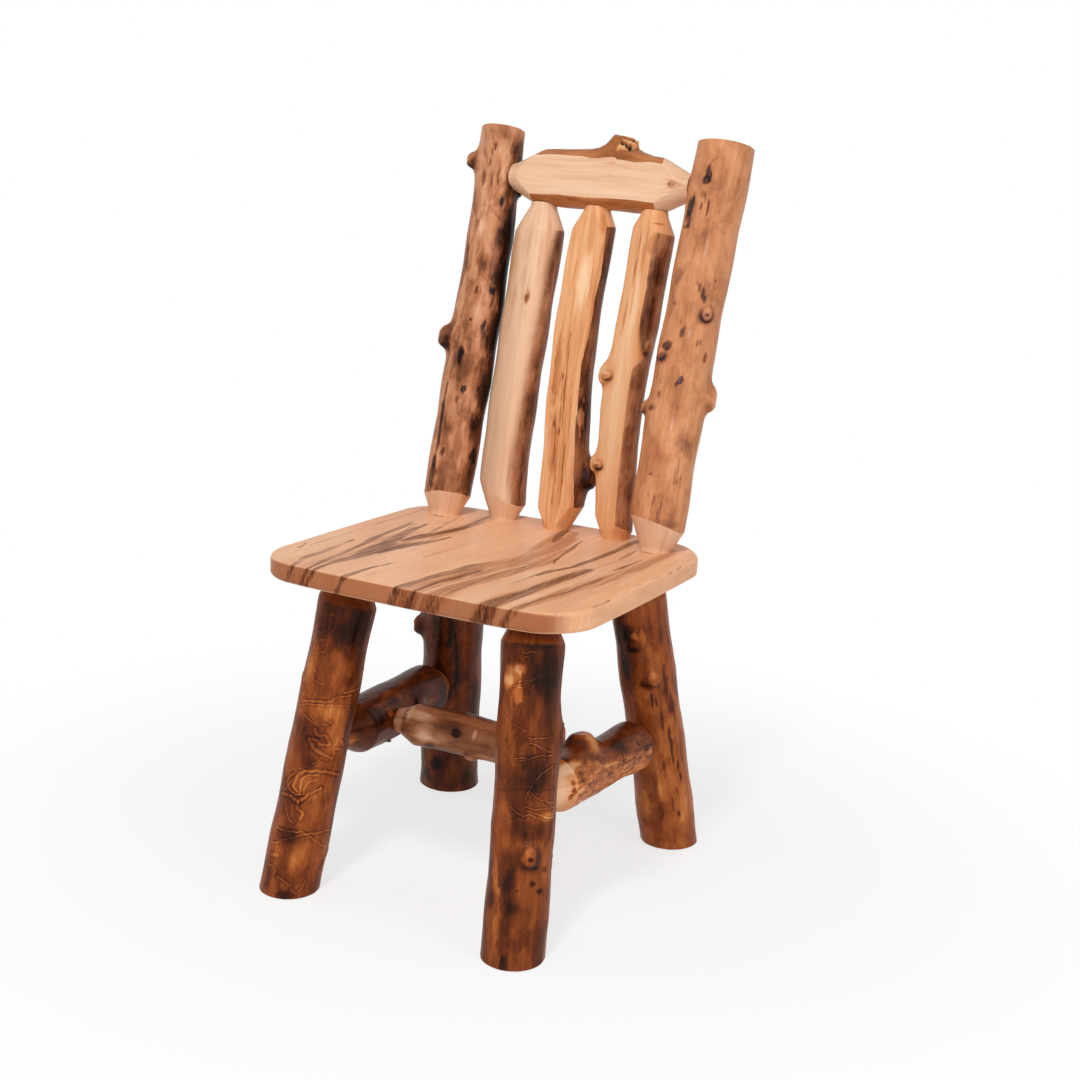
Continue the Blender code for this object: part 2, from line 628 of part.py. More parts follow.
def build_boards(slab):
    """Saw the slab at its glue lines into the boards that it was glued from."""
    seams = [-HALF_WIDTH - OVERRUN]
    seams += [share * SEAT_WIDTH for share in SEAT_SEAM_SHARES]
    seams += [HALF_WIDTH + OVERRUN]
    reach = HALF_DEPTH + OVERRUN
    low_z, high_z = SEAT_UNDERSIDE - OVERRUN, SEAT_HEIGHT + OVERRUN
    boards = []
    for number in range(len(seams) - 1):
        left = seams[number] + CLEARANCE / 2
        right = seams[number + 1] - CLEARANCE / 2
        board = box("seat_board_" + str(number + 1), (left, -reach, low_z), (right, reach, high_z), CHAIR)
        own_material(board, wood("maple"))
        boolean(board, slab, "INTERSECT")
        boards.append(board)
    return boards


def build_legs():
    """Four splayed legs, tenoned into the seat and sawn flat at the floor."""
    front_x, rear_x = POST_BASE_X - FRONT_LEG_SET_IN, POST_BASE_X - REAR_LEG_SET_IN
    front_y, rear_y = -HALF_DEPTH + FRONT_LEG_FRONT_INSET, HALF_DEPTH - REAR_LEG_BACK_INSET
    kinds = (
        ("front_leg_left", -1, front_x, front_y, FRONT_LEG_SPLAY_SHARE, -FRONT_LEG_RAKE_SHARE,
         FRONT_LEG_RADIUS, FRONT_LEFT_LEG_SHARES, FRONT_LEFT_LEG_KNOT_SHARES),
        ("front_leg_right", 1, front_x, front_y, FRONT_LEG_SPLAY_SHARE, -FRONT_LEG_RAKE_SHARE,
         FRONT_LEG_RADIUS, FRONT_RIGHT_LEG_SHARES, FRONT_RIGHT_LEG_KNOT_SHARES),
        ("rear_leg_left", -1, rear_x, rear_y, REAR_LEG_SPLAY_SHARE, REAR_LEG_RAKE_SHARE,
         REAR_LEG_RADIUS, REAR_LEFT_LEG_SHARES, REAR_LEFT_LEG_KNOT_SHARES),
        ("rear_leg_right", 1, rear_x, rear_y, REAR_LEG_SPLAY_SHARE, REAR_LEG_RAKE_SHARE,
         REAR_LEG_RADIUS, REAR_RIGHT_LEG_SHARES, REAR_RIGHT_LEG_KNOT_SHARES),
    )
    reach = HALF_WIDTH + HALF_DEPTH
    below = FRONT_LEG_RADIUS + REAR_LEG_RADIUS
    floor = box("floor_saw", (-reach, -reach, -below), (reach, reach, 0), CUTTERS)
    legs = {}
    for name, side, x, y, splay, rake, radius, shares, knots in kinds:
        top = Vector((side * x, y, SEAT_UNDERSIDE))
        foot = Vector((side * (x + SEAT_UNDERSIDE * splay), y + SEAT_UNDERSIDE * rake, 0))
        leg = Log(name, foot, top, X_AXIS, radius, shares, "dark_aspen")
        leg.head = (LEG_NECK_RADIUS, LEG_TENON_DEPTH, -SHOULDER_SINK)
        leg.build(knots)
        boolean(leg.body, floor, "DIFFERENCE")
        legs[name] = leg
    return legs


def leg_point(leg, height):
    """Point on a leg's straight axis at a height above the floor."""
    return leg.point(height / SEAT_UNDERSIDE)


def build_stretchers(legs):
    """An H of stretchers: one on each side between the legs, and one across."""
    kinds = (
        ("left", LEFT_STRETCHER_RADIUS, LEFT_STRETCHER_FRONT_HEIGHT, LEFT_STRETCHER_REAR_HEIGHT,
         LEFT_STRETCHER_SHARES, LEFT_STRETCHER_KNOT_SHARES),
        ("right", RIGHT_STRETCHER_RADIUS, RIGHT_STRETCHER_FRONT_HEIGHT, RIGHT_STRETCHER_REAR_HEIGHT,
         RIGHT_STRETCHER_SHARES, RIGHT_STRETCHER_KNOT_SHARES),
    )
    stretchers = {}
    for side, radius, front_height, rear_height, shares, knots in kinds:
        front, rear = legs["front_leg_" + side], legs["rear_leg_" + side]
        start, end = leg_point(front, front_height), leg_point(rear, rear_height)
        rail = Log("side_stretcher_" + side, start, end, Z_AXIS, radius, shares, "dark_aspen")
        rail.foot = (STRETCHER_NECK_RADIUS, STRETCHER_TENON_DEPTH, front.radius - SHOULDER_SINK)
        rail.head = (STRETCHER_NECK_RADIUS, STRETCHER_TENON_DEPTH, rear.radius - SHOULDER_SINK)
        rail.build(knots)
        boolean(front.body, rail.socket_cutter("foot"), "DIFFERENCE")
        boolean(rear.body, rail.socket_cutter("head"), "DIFFERENCE")
        stretchers[side] = rail
    left, right = stretchers["left"], stretchers["right"]
    start, end = left.point(CROSS_LEFT_SHARE), right.point(CROSS_RIGHT_SHARE)
    cross = Log("cross_stretcher", start, end, Z_AXIS, CROSS_STRETCHER_RADIUS,
                CROSS_STRETCHER_SHARES, "brown_aspen")
    cross.foot = (CROSS_NECK_RADIUS, CROSS_TENON_DEPTH, left.radius - SHOULDER_SINK)
    cross.head = (CROSS_NECK_RADIUS, CROSS_TENON_DEPTH, right.radius - SHOULDER_SINK)
    cross.build(CROSS_STRETCHER_KNOT_SHARES)
    boolean(left.body, cross.socket_cutter("foot"), "DIFFERENCE")
    boolean(right.body, cross.socket_cutter("head"), "DIFFERENCE")
    stretchers["cross"] = cross
    return stretchers


def build_posts():
    """Two back posts that lean back from the seat."""
    kinds = (
        ("left", -1, LEFT_POST_RADIUS, LEFT_POST_RISE, LEFT_POST_SHARES, LEFT_POST_KNOT_SHARES),
        ("right", 1, RIGHT_POST_RADIUS, RIGHT_POST_RISE, RIGHT_POST_SHARES, RIGHT_POST_KNOT_SHARES),
    )
    posts = {}
    for side_name, side, radius, rise, shares, knots in kinds:
        base = Vector((side * POST_BASE_X, POST_BASE_Y, BACK_BASE_HEIGHT))
        top = base + Vector((side * POST_SPLAY_SHARE, POST_LEAN_SHARE, 1)) * rise
        post = Log("back_post_" + side_name, base, top, X_AXIS, radius, shares, "brown_aspen")
        post.foot = (POST_NECK_RADIUS, POST_TENON_DEPTH, -SHOULDER_SINK)
        post.build(knots)
        posts[side_name] = post
    return posts


def post_point(post, rise):
    """Point on a post's straight axis at a height above the seat."""
    base, end = post.point(0), post.point(1)
    return base.lerp(end, rise / (end.z - base.z))


def build_crest(posts):
    """The crest rail between the posts, planed flat in front, with a branch stub on top."""
    start, end = post_point(posts["left"], CREST_RISE), post_point(posts["right"], CREST_RISE)
    up = Vector((0, POST_LEAN_SHARE, 1)).normalized()
    crest = Log("crest_rail", start, end, up, CREST_RADIUS, CREST_SHARES, "pale_aspen")
    crest.foot = (CREST_NECK_RADIUS, CREST_TENON_DEPTH, posts["left"].radius - SHOULDER_SINK)
    crest.head = (CREST_NECK_RADIUS, CREST_TENON_DEPTH, posts["right"].radius - SHOULDER_SINK)
    crest.build(())
    add_stub(crest)
    crest.plane_face(90, CREST_FLAT_DEPTH, 0, crest.length)
    boolean(posts["left"].body, crest.socket_cutter("foot"), "DIFFERENCE")
    boolean(posts["right"].body, crest.socket_cutter("head"), "DIFFERENCE")
    return crest


def add_stub(crest):
    """A broken branch stub on the crest's top, hollow at its end."""
    place = crest.frame @ Matrix.Translation((0, 0, crest.length * (1 + STUB_PLACE_SHARE) / 2))
    place = place @ Matrix.Rotation(math.pi / 2, 4, "Y")
    root = crest.radius / 2
    height = crest.radius - root + STUB_HEIGHT
    profile = [(0, root + height)]
    profile += [(STUB_RADIUS * wide, root + height * high) for wide, high in STUB_PROFILE_SHARES]
    profile += [(0, root)]
    shape = turned("crest_stub", profile, TURNED_SIDES)
    shape.transform(Matrix.Diagonal((1, STUB_BREADTH_SHARE, 1, 1)))
    stub = add_object("crest_stub", shape, CUTTERS, place)
    boolean(crest.body, stub, "UNION")
    hollow = [(0, OVERRUN), (STUB_HOLLOW_RADIUS, OVERRUN)]
    hollow += [(STUB_HOLLOW_RADIUS, -STUB_HOLLOW_DEPTH), (0, -STUB_HOLLOW_DEPTH)]
    lift = Matrix.Translation((0, 0, root + height))
    drill = turned("crest_stub_hollow", hollow, KNOT_SIDES)
    bore = add_object("crest_stub_hollow", drill, CUTTERS, place @ lift)
    boolean(crest.body, bore, "DIFFERENCE")


def build_spindles(posts, crest):
    """Three spindles from the seat to the crest rail, each with a dressed front face."""
    kinds = (
        ("left", LEFT_SPINDLE_RADIUS, LEFT_SPINDLE_SHARES, LEFT_SPINDLE_KNOT_SHARES,
         LEFT_SPINDLE_FLAT_SHARES),
        ("centre", CENTRE_SPINDLE_RADIUS, CENTRE_SPINDLE_SHARES, CENTRE_SPINDLE_KNOT_SHARES,
         CENTRE_SPINDLE_FLAT_SHARES),
        ("right", RIGHT_SPINDLE_RADIUS, RIGHT_SPINDLE_SHARES, RIGHT_SPINDLE_KNOT_SHARES,
         RIGHT_SPINDLE_FLAT_SHARES),
    )
    spindles = {}
    for number, (side, radius, shares, knots, flat) in enumerate(kinds):
        x = SPINDLE_BASE_SHARES[number] * POST_BASE_X
        base = Vector((x, HALF_DEPTH - SPINDLE_BACK_INSET, BACK_BASE_HEIGHT))
        top = crest.point((1 + SPINDLE_TOP_SHARES[number]) / 2)
        spindle = Log("back_spindle_" + side, base, top, X_AXIS, radius, shares, "pale_aspen")
        spindle.foot = (SPINDLE_NECK_RADIUS, SPINDLE_TENON_DEPTH, -SHOULDER_SINK)
        neck = crest.radius - SHOULDER_SINK
        spindle.head = (SPINDLE_NECK_RADIUS, SPINDLE_TOP_TENON_DEPTH, neck)
        spindle.build(knots)
        shoulder = (radius - SPINDLE_NECK_RADIUS) / 2 / SHOULDER_SLOPE_SHARE
        angle, depth_share = flat
        spindle.plane_face(angle, depth_share * radius, shoulder, spindle.length - neck - shoulder)
        boolean(crest.body, spindle.socket_cutter("head"), "DIFFERENCE")
        spindles[side] = spindle
    return spindles


def screw_the_back(slab, posts, spindles, crest):
    """Screws from below the seat into the back, and from behind into the crest's tenons."""
    for log in list(posts.values()) + list(spindles.values()):
        base = log.point(0)
        head = Vector((base.x, base.y, SEAT_UNDERSIDE))
        aim = Vector((base.x, base.y, SEAT_HEIGHT))
        add_screw(log.name + "_seat_screw", head, aim, SEAT_SCREW_LENGTH, (slab, log.body))
    behind = Vector((0, 1, -POST_LEAN_SHARE)).normalized()
    for side, start, end in (("left", 0, 1), ("right", 1, 0)):
        post = posts[side]
        inward = (crest.point(end) - crest.point(start)).normalized()
        tenon = crest.point(start) + inward * (post.radius - CREST_TENON_DEPTH * SCREW_TENON_SHARE)
        head = tenon + behind * post.radius * SCREW_SEAT_SHARE
        add_screw("crest_screw_" + side, head, tenon, CREST_SCREW_LENGTH, (post.body, crest.body))
    for side, spindle in spindles.items():
        top = spindle.point(1)
        down = (spindle.point(0) - top).normalized()
        tenon = top + down * (crest.radius - SPINDLE_TOP_TENON_DEPTH * SCREW_TENON_SHARE)
        head = tenon + behind * crest.radius * SCREW_SEAT_SHARE
        add_screw("spindle_screw_" + side, head, tenon, CREST_SCREW_LENGTH, (crest.body, spindle.body))


def screw_the_base(slab, legs, stretchers):
    """Pocket screws through the seat into the leg tenons, and screws into the stretchers."""
    for name, leg in legs.items():
        top = leg.point(1)
        inward = Vector((-top.x, -top.y, 0)).normalized()
        slope = Z_AXIS * math.cos(POCKET_TILT) - inward * math.sin(POCKET_TILT)
        head = top + inward * POCKET_DISTANCE + slope * POCKET_SINK
        add_screw(name + "_screw", head, head + slope, POCKET_SCREW_LENGTH, (slab, leg.body),
                  2 * OVERRUN)
    for side in ("left", "right"):
        rail = stretchers[side]
        axis = (rail.point(1) - rail.point(0)).normalized()
        leg = legs["rear_leg_" + side]
        head = rail.point(1) + axis * leg.radius * SCREW_SEAT_SHARE
        add_screw("stretcher_screw_rear_" + side, head, rail.point(1), STRETCHER_SCREW_LENGTH,
                  (leg.body, rail.body))
        leg = legs["front_leg_" + side]
        under = leg.point((rail.point(0).z - TOE_DROP) / SEAT_UNDERSIDE)
        head = under + axis * leg.radius * SCREW_SEAT_SHARE
        aim = rail.point(0) + axis * (leg.radius - STRETCHER_TENON_DEPTH * SCREW_TENON_SHARE)
        add_screw("stretcher_screw_front_" + side, head, aim, TOE_SCREW_LENGTH, (leg.body, rail.body))
    cross = stretchers["cross"]
    for side, share in (("left", 0), ("right", 1)):
        rail = stretchers[side]
        inner = (rail.radius - CROSS_TENON_DEPTH * SCREW_TENON_SHARE) / cross.length
        aim = cross.point(inner if share == 0 else 1 - inner)
        head = aim - Z_AXIS * rail.radius * SCREW_SEAT_SHARE
        add_screw("cross_screw_" + side, head, aim, CROSS_SCREW_LENGTH, (rail.body, cross.body))


def shade(objects):
    """Smooth shading that keeps the arrises sharp."""
    for obj in objects:
        obj.data.shade_smooth()
        obj.data.set_sharp_from_angle(angle=SHARP_ANGLE)


def build_chair():
    """Build every piece, bore every socket and drive every screw."""
    slab = build_slab()
    legs = build_legs()
    stretchers = build_stretchers(legs)
    posts = build_posts()
    crest = build_crest(posts)
    spindles = build_spindles(posts, crest)
    for leg in legs.values():
        boolean(slab, leg.socket_cutter("head"), "DIFFERENCE")
    for log in list(posts.values()) + list(spindles.values()):
        boolean(slab, log.socket_cutter("foot"), "DIFFERENCE")
    screw_the_back(slab, posts, spindles, crest)
    screw_the_base(slab, legs, stretchers)
    build_boards(slab)
    shade(CHAIR.objects)
    bpy.context.view_layer.update()


build_chair()
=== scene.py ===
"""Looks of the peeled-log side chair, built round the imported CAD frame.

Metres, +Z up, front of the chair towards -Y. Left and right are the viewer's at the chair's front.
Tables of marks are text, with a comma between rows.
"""
import math

import bmesh
import bpy
import numpy as np
from mathutils import Matrix, Vector


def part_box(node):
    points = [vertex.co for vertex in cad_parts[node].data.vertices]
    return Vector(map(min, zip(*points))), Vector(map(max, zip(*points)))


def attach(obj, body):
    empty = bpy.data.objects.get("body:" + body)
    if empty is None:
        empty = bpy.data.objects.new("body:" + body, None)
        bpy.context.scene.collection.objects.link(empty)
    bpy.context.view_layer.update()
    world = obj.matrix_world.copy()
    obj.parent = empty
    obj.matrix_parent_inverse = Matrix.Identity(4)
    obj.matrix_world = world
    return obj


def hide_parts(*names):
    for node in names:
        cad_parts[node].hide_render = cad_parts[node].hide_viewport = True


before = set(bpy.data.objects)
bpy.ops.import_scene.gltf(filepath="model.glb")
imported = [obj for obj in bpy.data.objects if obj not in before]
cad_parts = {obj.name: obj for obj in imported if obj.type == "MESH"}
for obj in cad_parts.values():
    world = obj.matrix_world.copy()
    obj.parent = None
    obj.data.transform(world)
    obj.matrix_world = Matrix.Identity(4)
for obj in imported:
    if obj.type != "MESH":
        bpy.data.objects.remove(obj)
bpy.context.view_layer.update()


# Seat. A slab glued from four boards of streaky maple, sawn to a rounded rectangle, dished a
# little, rounded over by hand and lacquered. The sides and back have a wide roundover, and the
# front keeps a crisp upper arris. The back and the legs are tenoned into it.
SEAT_TOP, SEAT_THICKNESS = 0.457, 0.027
SEAT_HALF_WIDTH, SEAT_HALF_DEPTH = 0.238, 0.23025
SEAT_CORNER, SEAT_CORNER_STEPS = 0.060, 64
SEAT_CORNER_MIDDLE = (0.222, 0.198)
SEAT_BOW_FRONT, SEAT_BOW_BACK, SEAT_BOW_SIDE = 0.019, 0.023, 0.003
SEAT_ROUNDOVER, UPPER_STEPS, LOWER_STEPS = 0.0085, 8, 6
SEAT_MIDDLE_Y = sum(corner.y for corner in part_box("seat_board_2")) / 2
SEAT_SEAMS, SEAM_HALF_WIDTH = (-0.0966, 0.0847, 0.2075), 0.0004
SEAT_DISH, SEAT_DISH_MARGIN, SEAT_DISH_FLAT = 0.0045, 0.024, 0.36
SEAT_GRID, SEAT_PITCH = (0.46, 0.44), 0.0017
EDGE_POINTS, EDGE_STEP = 8000, 0.001


def table(text):
    """Rows of numbers from text with a comma between rows."""
    return [[float(part) for part in row.split()] for row in text.split(",") if row.strip()]


def blend_step(low, high, value):
    """0 below low, 1 above high and a smooth ramp between; low may be the larger."""
    t = np.clip((value - low) / (high - low), 0, 1)
    return t * t * (3 - 2 * t)


def drift(points, seed):
    """Smooth random values from -1 to 1 over a lattice of unit cells."""
    cell = np.floor(points).astype(np.int64)
    part = points - cell
    part = part * part * (3 - 2 * part)
    total = np.zeros(len(points))
    for corner in np.ndindex(2, 2, 2):
        x, y, z = (cell + corner).T
        code = (x * 73856093) ^ (y * 19349663) ^ (z * 83492791) ^ (seed * 2654435761)
        code = (code ^ (code >> 13)) * 1274126177
        code = (code ^ (code >> 16)) & 0xFFFF
        total += np.prod(np.where(corner, part, 1 - part), axis=1) * (code / 32767.5 - 1)
    return total


def stroke_distance(points, stroke):
    """Distance of each 2-D point to a stroke of (a, b, half width) points, in half widths."""
    best = np.full(len(points), 1e9)
    for (a, b, w), (c, d, v) in zip(stroke[:-1], stroke[1:]):
        along = np.array((c - a, d - b))
        t = np.clip(((points - (a, b)) @ along) / max(along @ along, 1e-12), 0, 1)
        gap = np.hypot(points[:, 0] - a - t * along[0], points[:, 1] - b - t * along[1])
        best = np.minimum(best, gap / (w + (v - w) * t))
    return best


def new_grid(name, columns, rows):
    """A flat grid from -1 to 1 that is then laid or rolled into a piece."""
    bpy.ops.object.select_all(action="DESELECT")
    bpy.ops.mesh.primitive_grid_add(x_subdivisions=columns, y_subdivisions=rows, size=2)
    piece = bpy.context.object
    piece.name = piece.data.name = name
    return piece


def points_of(mesh):
    """The places of a mesh's points."""
    co = np.empty(len(mesh.vertices) * 3)
    mesh.vertices.foreach_get("co", co)
    return co.reshape(-1, 3)


def shade(piece, degrees):
    """Smooth shading with crisp edges where the surface turns more than the angle."""
    bpy.ops.object.select_all(action="DESELECT")
    piece.select_set(True)
    bpy.context.view_layer.objects.active = piece
    piece.data.shade_smooth()
    bpy.ops.object.shade_smooth_by_angle(angle=math.radians(degrees))


def seat_edge(count):
    """The seat's outline as a closed line of evenly spaced points, from the front right corner."""
    half_x = SEAT_HALF_WIDTH - SEAT_BOW_SIDE
    front, back = SEAT_HALF_DEPTH - SEAT_BOW_FRONT, SEAT_HALF_DEPTH - SEAT_BOW_BACK
    points = []
    for side, depth, start in ((1, -front, -90), (1, back, 0), (-1, back, 90), (-1, -front, 180)):
        middle = (side * (half_x - SEAT_CORNER), depth - math.copysign(SEAT_CORNER, depth))
        for step in range(SEAT_CORNER_STEPS + 1):
            angle = math.radians(start + 90 * step / SEAT_CORNER_STEPS)
            points.append((middle[0] + SEAT_CORNER * math.cos(angle),
                           middle[1] + SEAT_CORNER * math.sin(angle)))
    points = np.array(points + points[:1])
    closed = []
    for low, high in zip(points[:-1], points[1:]):
        steps = max(1, int(np.hypot(*(high - low)) / EDGE_STEP))
        closed += [low + (high - low) * i / steps for i in range(steps)]
    x, y = np.array(closed).T
    bow = np.where(y < 0, SEAT_BOW_FRONT, SEAT_BOW_BACK)
    share = np.minimum(np.abs(x) / half_x, 1)
    out_y = y + y / np.where(y < 0, front, back) * bow * (1 - share ** 4)
    out_x = x + x / half_x * SEAT_BOW_SIDE * (1 - (y / SEAT_HALF_DEPTH) ** 2)
    points = np.stack((out_x, out_y), axis=1)
    loop = np.vstack((points, points[:1]))
    run = np.concatenate(([0], np.cumsum(np.hypot(*np.diff(loop, axis=0).T))))
    at = np.linspace(0, run[-1], count, endpoint=False)
    return np.stack([np.interp(at, run, loop[:, k]) for k in (0, 1)], axis=1)


def seat_sides(across, deep):
    """The outline cut at the middles of its corners: front, right, back and left curves."""
    edge = seat_edge(EDGE_POINTS)
    at_x, at_y = SEAT_CORNER_MIDDLE
    marks = [int(np.argmin(np.hypot(edge[:, 0] - sx * at_x, edge[:, 1] - sy * at_y)))
             for sx, sy in ((-1, -1), (1, -1), (1, 1), (-1, 1))]
    curves = []
    for first, last, count in zip(marks, marks[1:] + marks[:1], (across, deep, across, deep)):
        span = (last - first) % len(edge)
        steps = (first + np.linspace(0, span, count + 1)) % len(edge)
        curves.append(edge[np.round(steps).astype(int) % len(edge)])
    return curves


def inward(loop, distance):
    """Move a closed line of points inwards, square to itself."""
    run = np.roll(loop, -1, axis=0) - np.roll(loop, 1, axis=0)
    normal = np.stack((-run[:, 1], run[:, 0]), axis=1)
    normal /= np.hypot(*normal.T)[:, None]
    return loop + normal * np.asarray(distance).reshape(-1, 1)


def build_seat():
    """A grid laid inside the outline, with rings of roundover and edge added round it."""
    across, deep = (int(side / SEAT_PITCH) for side in SEAT_GRID)
    curves = seat_sides(across, deep)
    loop = np.vstack([curve[:-1] for curve in curves])
    forward = np.clip(-loop[:, 1] / SEAT_HALF_DEPTH, 0, 1) ** 4
    upper = SEAT_ROUNDOVER * (1 - 0.6 * forward)
    lower = SEAT_ROUNDOVER * (0.35 + 0.65 * forward)
    rim = inward(loop, upper)
    front, right = rim[:across + 1], rim[across:across + deep + 1]
    back = rim[across + deep:2 * across + deep + 1][::-1]
    left = np.vstack((rim[2 * across + deep:], rim[:1]))[::-1]
    slab = new_grid("seat_slab", across, deep)
    u, v = (points_of(slab.data)[:, :2].T + 1) / 2
    i, j = np.round(u * across).astype(int), np.round(v * deep).astype(int)
    u, v = u[:, None], v[:, None]
    place = (1 - v) * front[i] + v * back[i] + (1 - u) * left[j] + u * right[j]
    place -= (1 - u) * (1 - v) * front[0] + u * (1 - v) * front[-1]
    place -= (1 - u) * v * back[0] + u * v * back[-1]
    shape = bmesh.new()
    shape.from_mesh(slab.data)
    shape.verts.ensure_lookup_table()
    dish_rim = inward(loop, SEAT_DISH_MARGIN)
    turn = np.arctan2(dish_rim[:, 1], dish_rim[:, 0])
    order = np.argsort(turn)
    bearing = np.arctan2(place[:, 1], place[:, 0])
    reach = np.interp(bearing, turn[order], np.hypot(*dish_rim.T)[order], period=2 * math.pi)
    fall = blend_step(1.0, SEAT_DISH_FLAT, np.hypot(*place.T) / reach)
    for vertex, (x, y), depth in zip(shape.verts, place, fall):
        vertex.co = (x, y, SEAT_TOP - SEAT_DISH * depth)
    grid = {(a, b): vertex for a, b, vertex in zip(i, j, shape.verts)}
    ring = [grid[(a, 0)] for a in range(across)] + [grid[(across, b)] for b in range(deep)]
    ring += [grid[(a, deep)] for a in range(across, 0, -1)]
    ring += [grid[(0, b)] for b in range(deep, 0, -1)]
    rows = []
    for step in range(1, UPPER_STEPS + 1):
        angle = math.pi / 2 * step / UPPER_STEPS
        rows.append((upper * (1 - math.sin(angle)), SEAT_TOP - upper * (1 - math.cos(angle))))
    low, shoulder = SEAT_TOP - SEAT_THICKNESS, rows[-1][1]
    for share in (0.25, 0.5, 0.75, 1.0):
        rows.append((0 * upper, shoulder + (low + lower - shoulder) * share))
    for step in range(1, LOWER_STEPS + 1):
        angle = math.pi / 2 * step / LOWER_STEPS
        rows.append((lower * (1 - math.cos(angle)), low + lower * (1 - math.sin(angle))))
    for inset, height in rows:
        line = inward(loop, inset)
        fresh = [shape.verts.new((x, y, z)) for (x, y), z in zip(line, height)]
        for a in range(len(ring)):
            b = (a + 1) % len(ring)
            shape.faces.new((ring[a], fresh[a], fresh[b], ring[b]))
        ring = fresh
    shape.faces.new(ring)
    bmesh.ops.recalc_face_normals(shape, faces=shape.faces)
    bmesh.ops.translate(shape, verts=shape.verts, vec=(0, SEAT_MIDDLE_Y, 0))
    shape.to_mesh(slab.data)
    shape.free()
    return slab


# Streaks of the boards' top in millimetres from the slab's middle: a strength, then points of
# x, y and half width. The dark ones are stained grain, and the broad ones are brown heartwood.
DARK_STREAKS = """
    .45 -208 161 2.5 -207 36 3 -209 -71 3 -208 -129 2, .7 -218 -121 2.5 -213 -146 3.5,
    .75 -176 79 3 -173 29 5 -166 -36 5.5 -157 -93 5 -150 -150 5 -141 -214 4.5 -130 -254 4.5,
    .6 -169 79 2 -162 43 1.5, .6 -182 -61 3 -179 -107 5 -173 -179 5.5 -163 -221 5 -154 -250 5,
    .8 -158 89 2 -154 36 7 -143 -14 10 -135 -71 14.5 -129 -143 9.5 -130 -211 3.5 -125 -250 3,
    .8 -93 50 3 -102 14 6.5 -116 -36 10 -125 -89 10,
    .8 -105 182 7 -105 143 8 -109 100 8.5 -118 64 6.5 -127 21 8.5 -132 -14 3.5,
    .6 -143 161 2 -138 107 3 -130 64 3 -126 36 1.5, .6 -57 0 2 -63 -36 3 -65 -68 2,
    .8 -75 -121 1.5 -79 -171 3 -80 -229 4.5 -82 -257 4.5, .45 -57 -164 1.5 -59 -200 2 -61 -225 2,
    .3 -50 107 2 -55 79 1.5, .3 -29 129 2 -21 104 2, .85 20 186 4.5 27 150 8 35 118 4.5,
    .75 64 146 2 68 118 4 73 79 4.5 82 29 3 91 14 2,
    .75 19 -29 3 8 -71 8.5 6 -143 8 2 -218 7 -4 -257 6.5,
    .75 32 -82 7 27 -125 7 25 -196 5.5 23 -257 4.5,
    .5 71 0 5 66 -54 12 60 -143 13 58 -221 13 55 -257 13,
    .7 104 0 2 98 -54 4 95 -107 3 93 -148 1.5,
    .85 130 189 8 126 125 7 123 64 5.5 118 14 5.5 108 -21 3.5 102 -54 2,
    .5 150 143 3 153 107 3 157 79 3 150 36 5 145 0 6.5,
    .78 144 7 8 136 -54 10 132 -107 11.5 132 -161 13 129 -225 14.5 125 -257 14.5,
    .95 131 -98 4.5 132 -109 5, .9 179 96 2 176 36 2.5 174 20 1.5,
    .6 184 0 3.5 179 -54 4.5 173 -107 5 164 -161 5 160 -214 5 155 -257 5,
    .5 198 -136 2 197 -191 2, .7 236 -71 2 242 -95 3.5, .5 233 -111 2 232 -154 3.5"""
BROWN_STREAKS = """
    .75 30 168 22 52 50 29.5 58 18 34 47 -36 38 39 -107 38.5 37 -221 40 32 -261 40,
    .5 -136 29 25 -138 -71 34 -143 -179 21.5 -139 -257 18, .5 -107 182 16 -113 100 16 -121 36 18,
    .6 143 7 13 135 -71 16.5 131 -161 18 126 -261 19.5,
    .65 193 168 10.5 194 71 12.5 190 0 14.5 183 -54 15.5 174 -107 15 168 -161 12 161 -221 8.5
      157 -261 8, .3 246 71 7 242 -36 8 240 -107 11.5 232 -161 10, .3 -229 157 21.5 -207 179 18"""
PALE_STREAKS = """
    .8 64 -14 2 52 -54 3 45 -107 3 39 -196 3 36 -257 3,
    .8 111 21 3 93 -25 5.5 88 -107 7 95 -161 14.5 96 -225 17 95 -261 17,
    .8 162 7 3 157 -71 3 152 -143 3 149 -214 3 146 -257 3"""
WORM_TRACKS = """
    232 154 233 132, 235 107 236 88, 235 79 236 57, 233 36 231 7, 232 -14 230 -36,
    233 -54 235 -68"""


def srgb(*values):
    """A colour written in 0-255 steps as Blender's linear colour."""
    parts = [value / 255 for value in values]
    return (*(v / 12.92 if v <= 0.04045 else ((v + 0.055) / 1.055) ** 2.4 for v in parts), 1.0)


def give_attribute(mesh, name, values):
    """Store a number or a vector for each vertex under a name."""
    kind, field = ("FLOAT", "value") if values.ndim == 1 else ("FLOAT_VECTOR", "vector")
    layer = mesh.attributes.new(name, kind, "POINT")
    layer.data.foreach_set(field, values.astype(np.float32).ravel())


def add_node(tree, kind, settings=None, **sockets):
    """A node with settings and inputs, each named with underscores or by i and a number."""
    node = tree.nodes.new(kind)
    for key, value in (settings or {}).items():
        setattr(node, key, value)
    for key, value in sockets.items():
        socket = node.inputs[int(key[1:]) if key[1:].isdigit() else key.replace("_", " ")]
        if isinstance(value, bpy.types.NodeSocket):
            tree.links.new(value, socket)
        else:
            socket.default_value = value
    return node


def math_node(tree, operation, first, second=0.0, third=0.0):
    """The result of one step of arithmetic."""
    settings = {"operation": operation}
    return add_node(tree, "ShaderNodeMath", settings, i0=first, i1=second, i2=third).outputs[0]


def mix_colours(tree, factor, first, second, kind="MIX"):
    """A blend of two colours."""
    settings = {"data_type": "RGBA", "blend_type": kind}
    return add_node(tree, "ShaderNodeMix", settings, i0=factor, i6=first, i7=second).outputs[2]


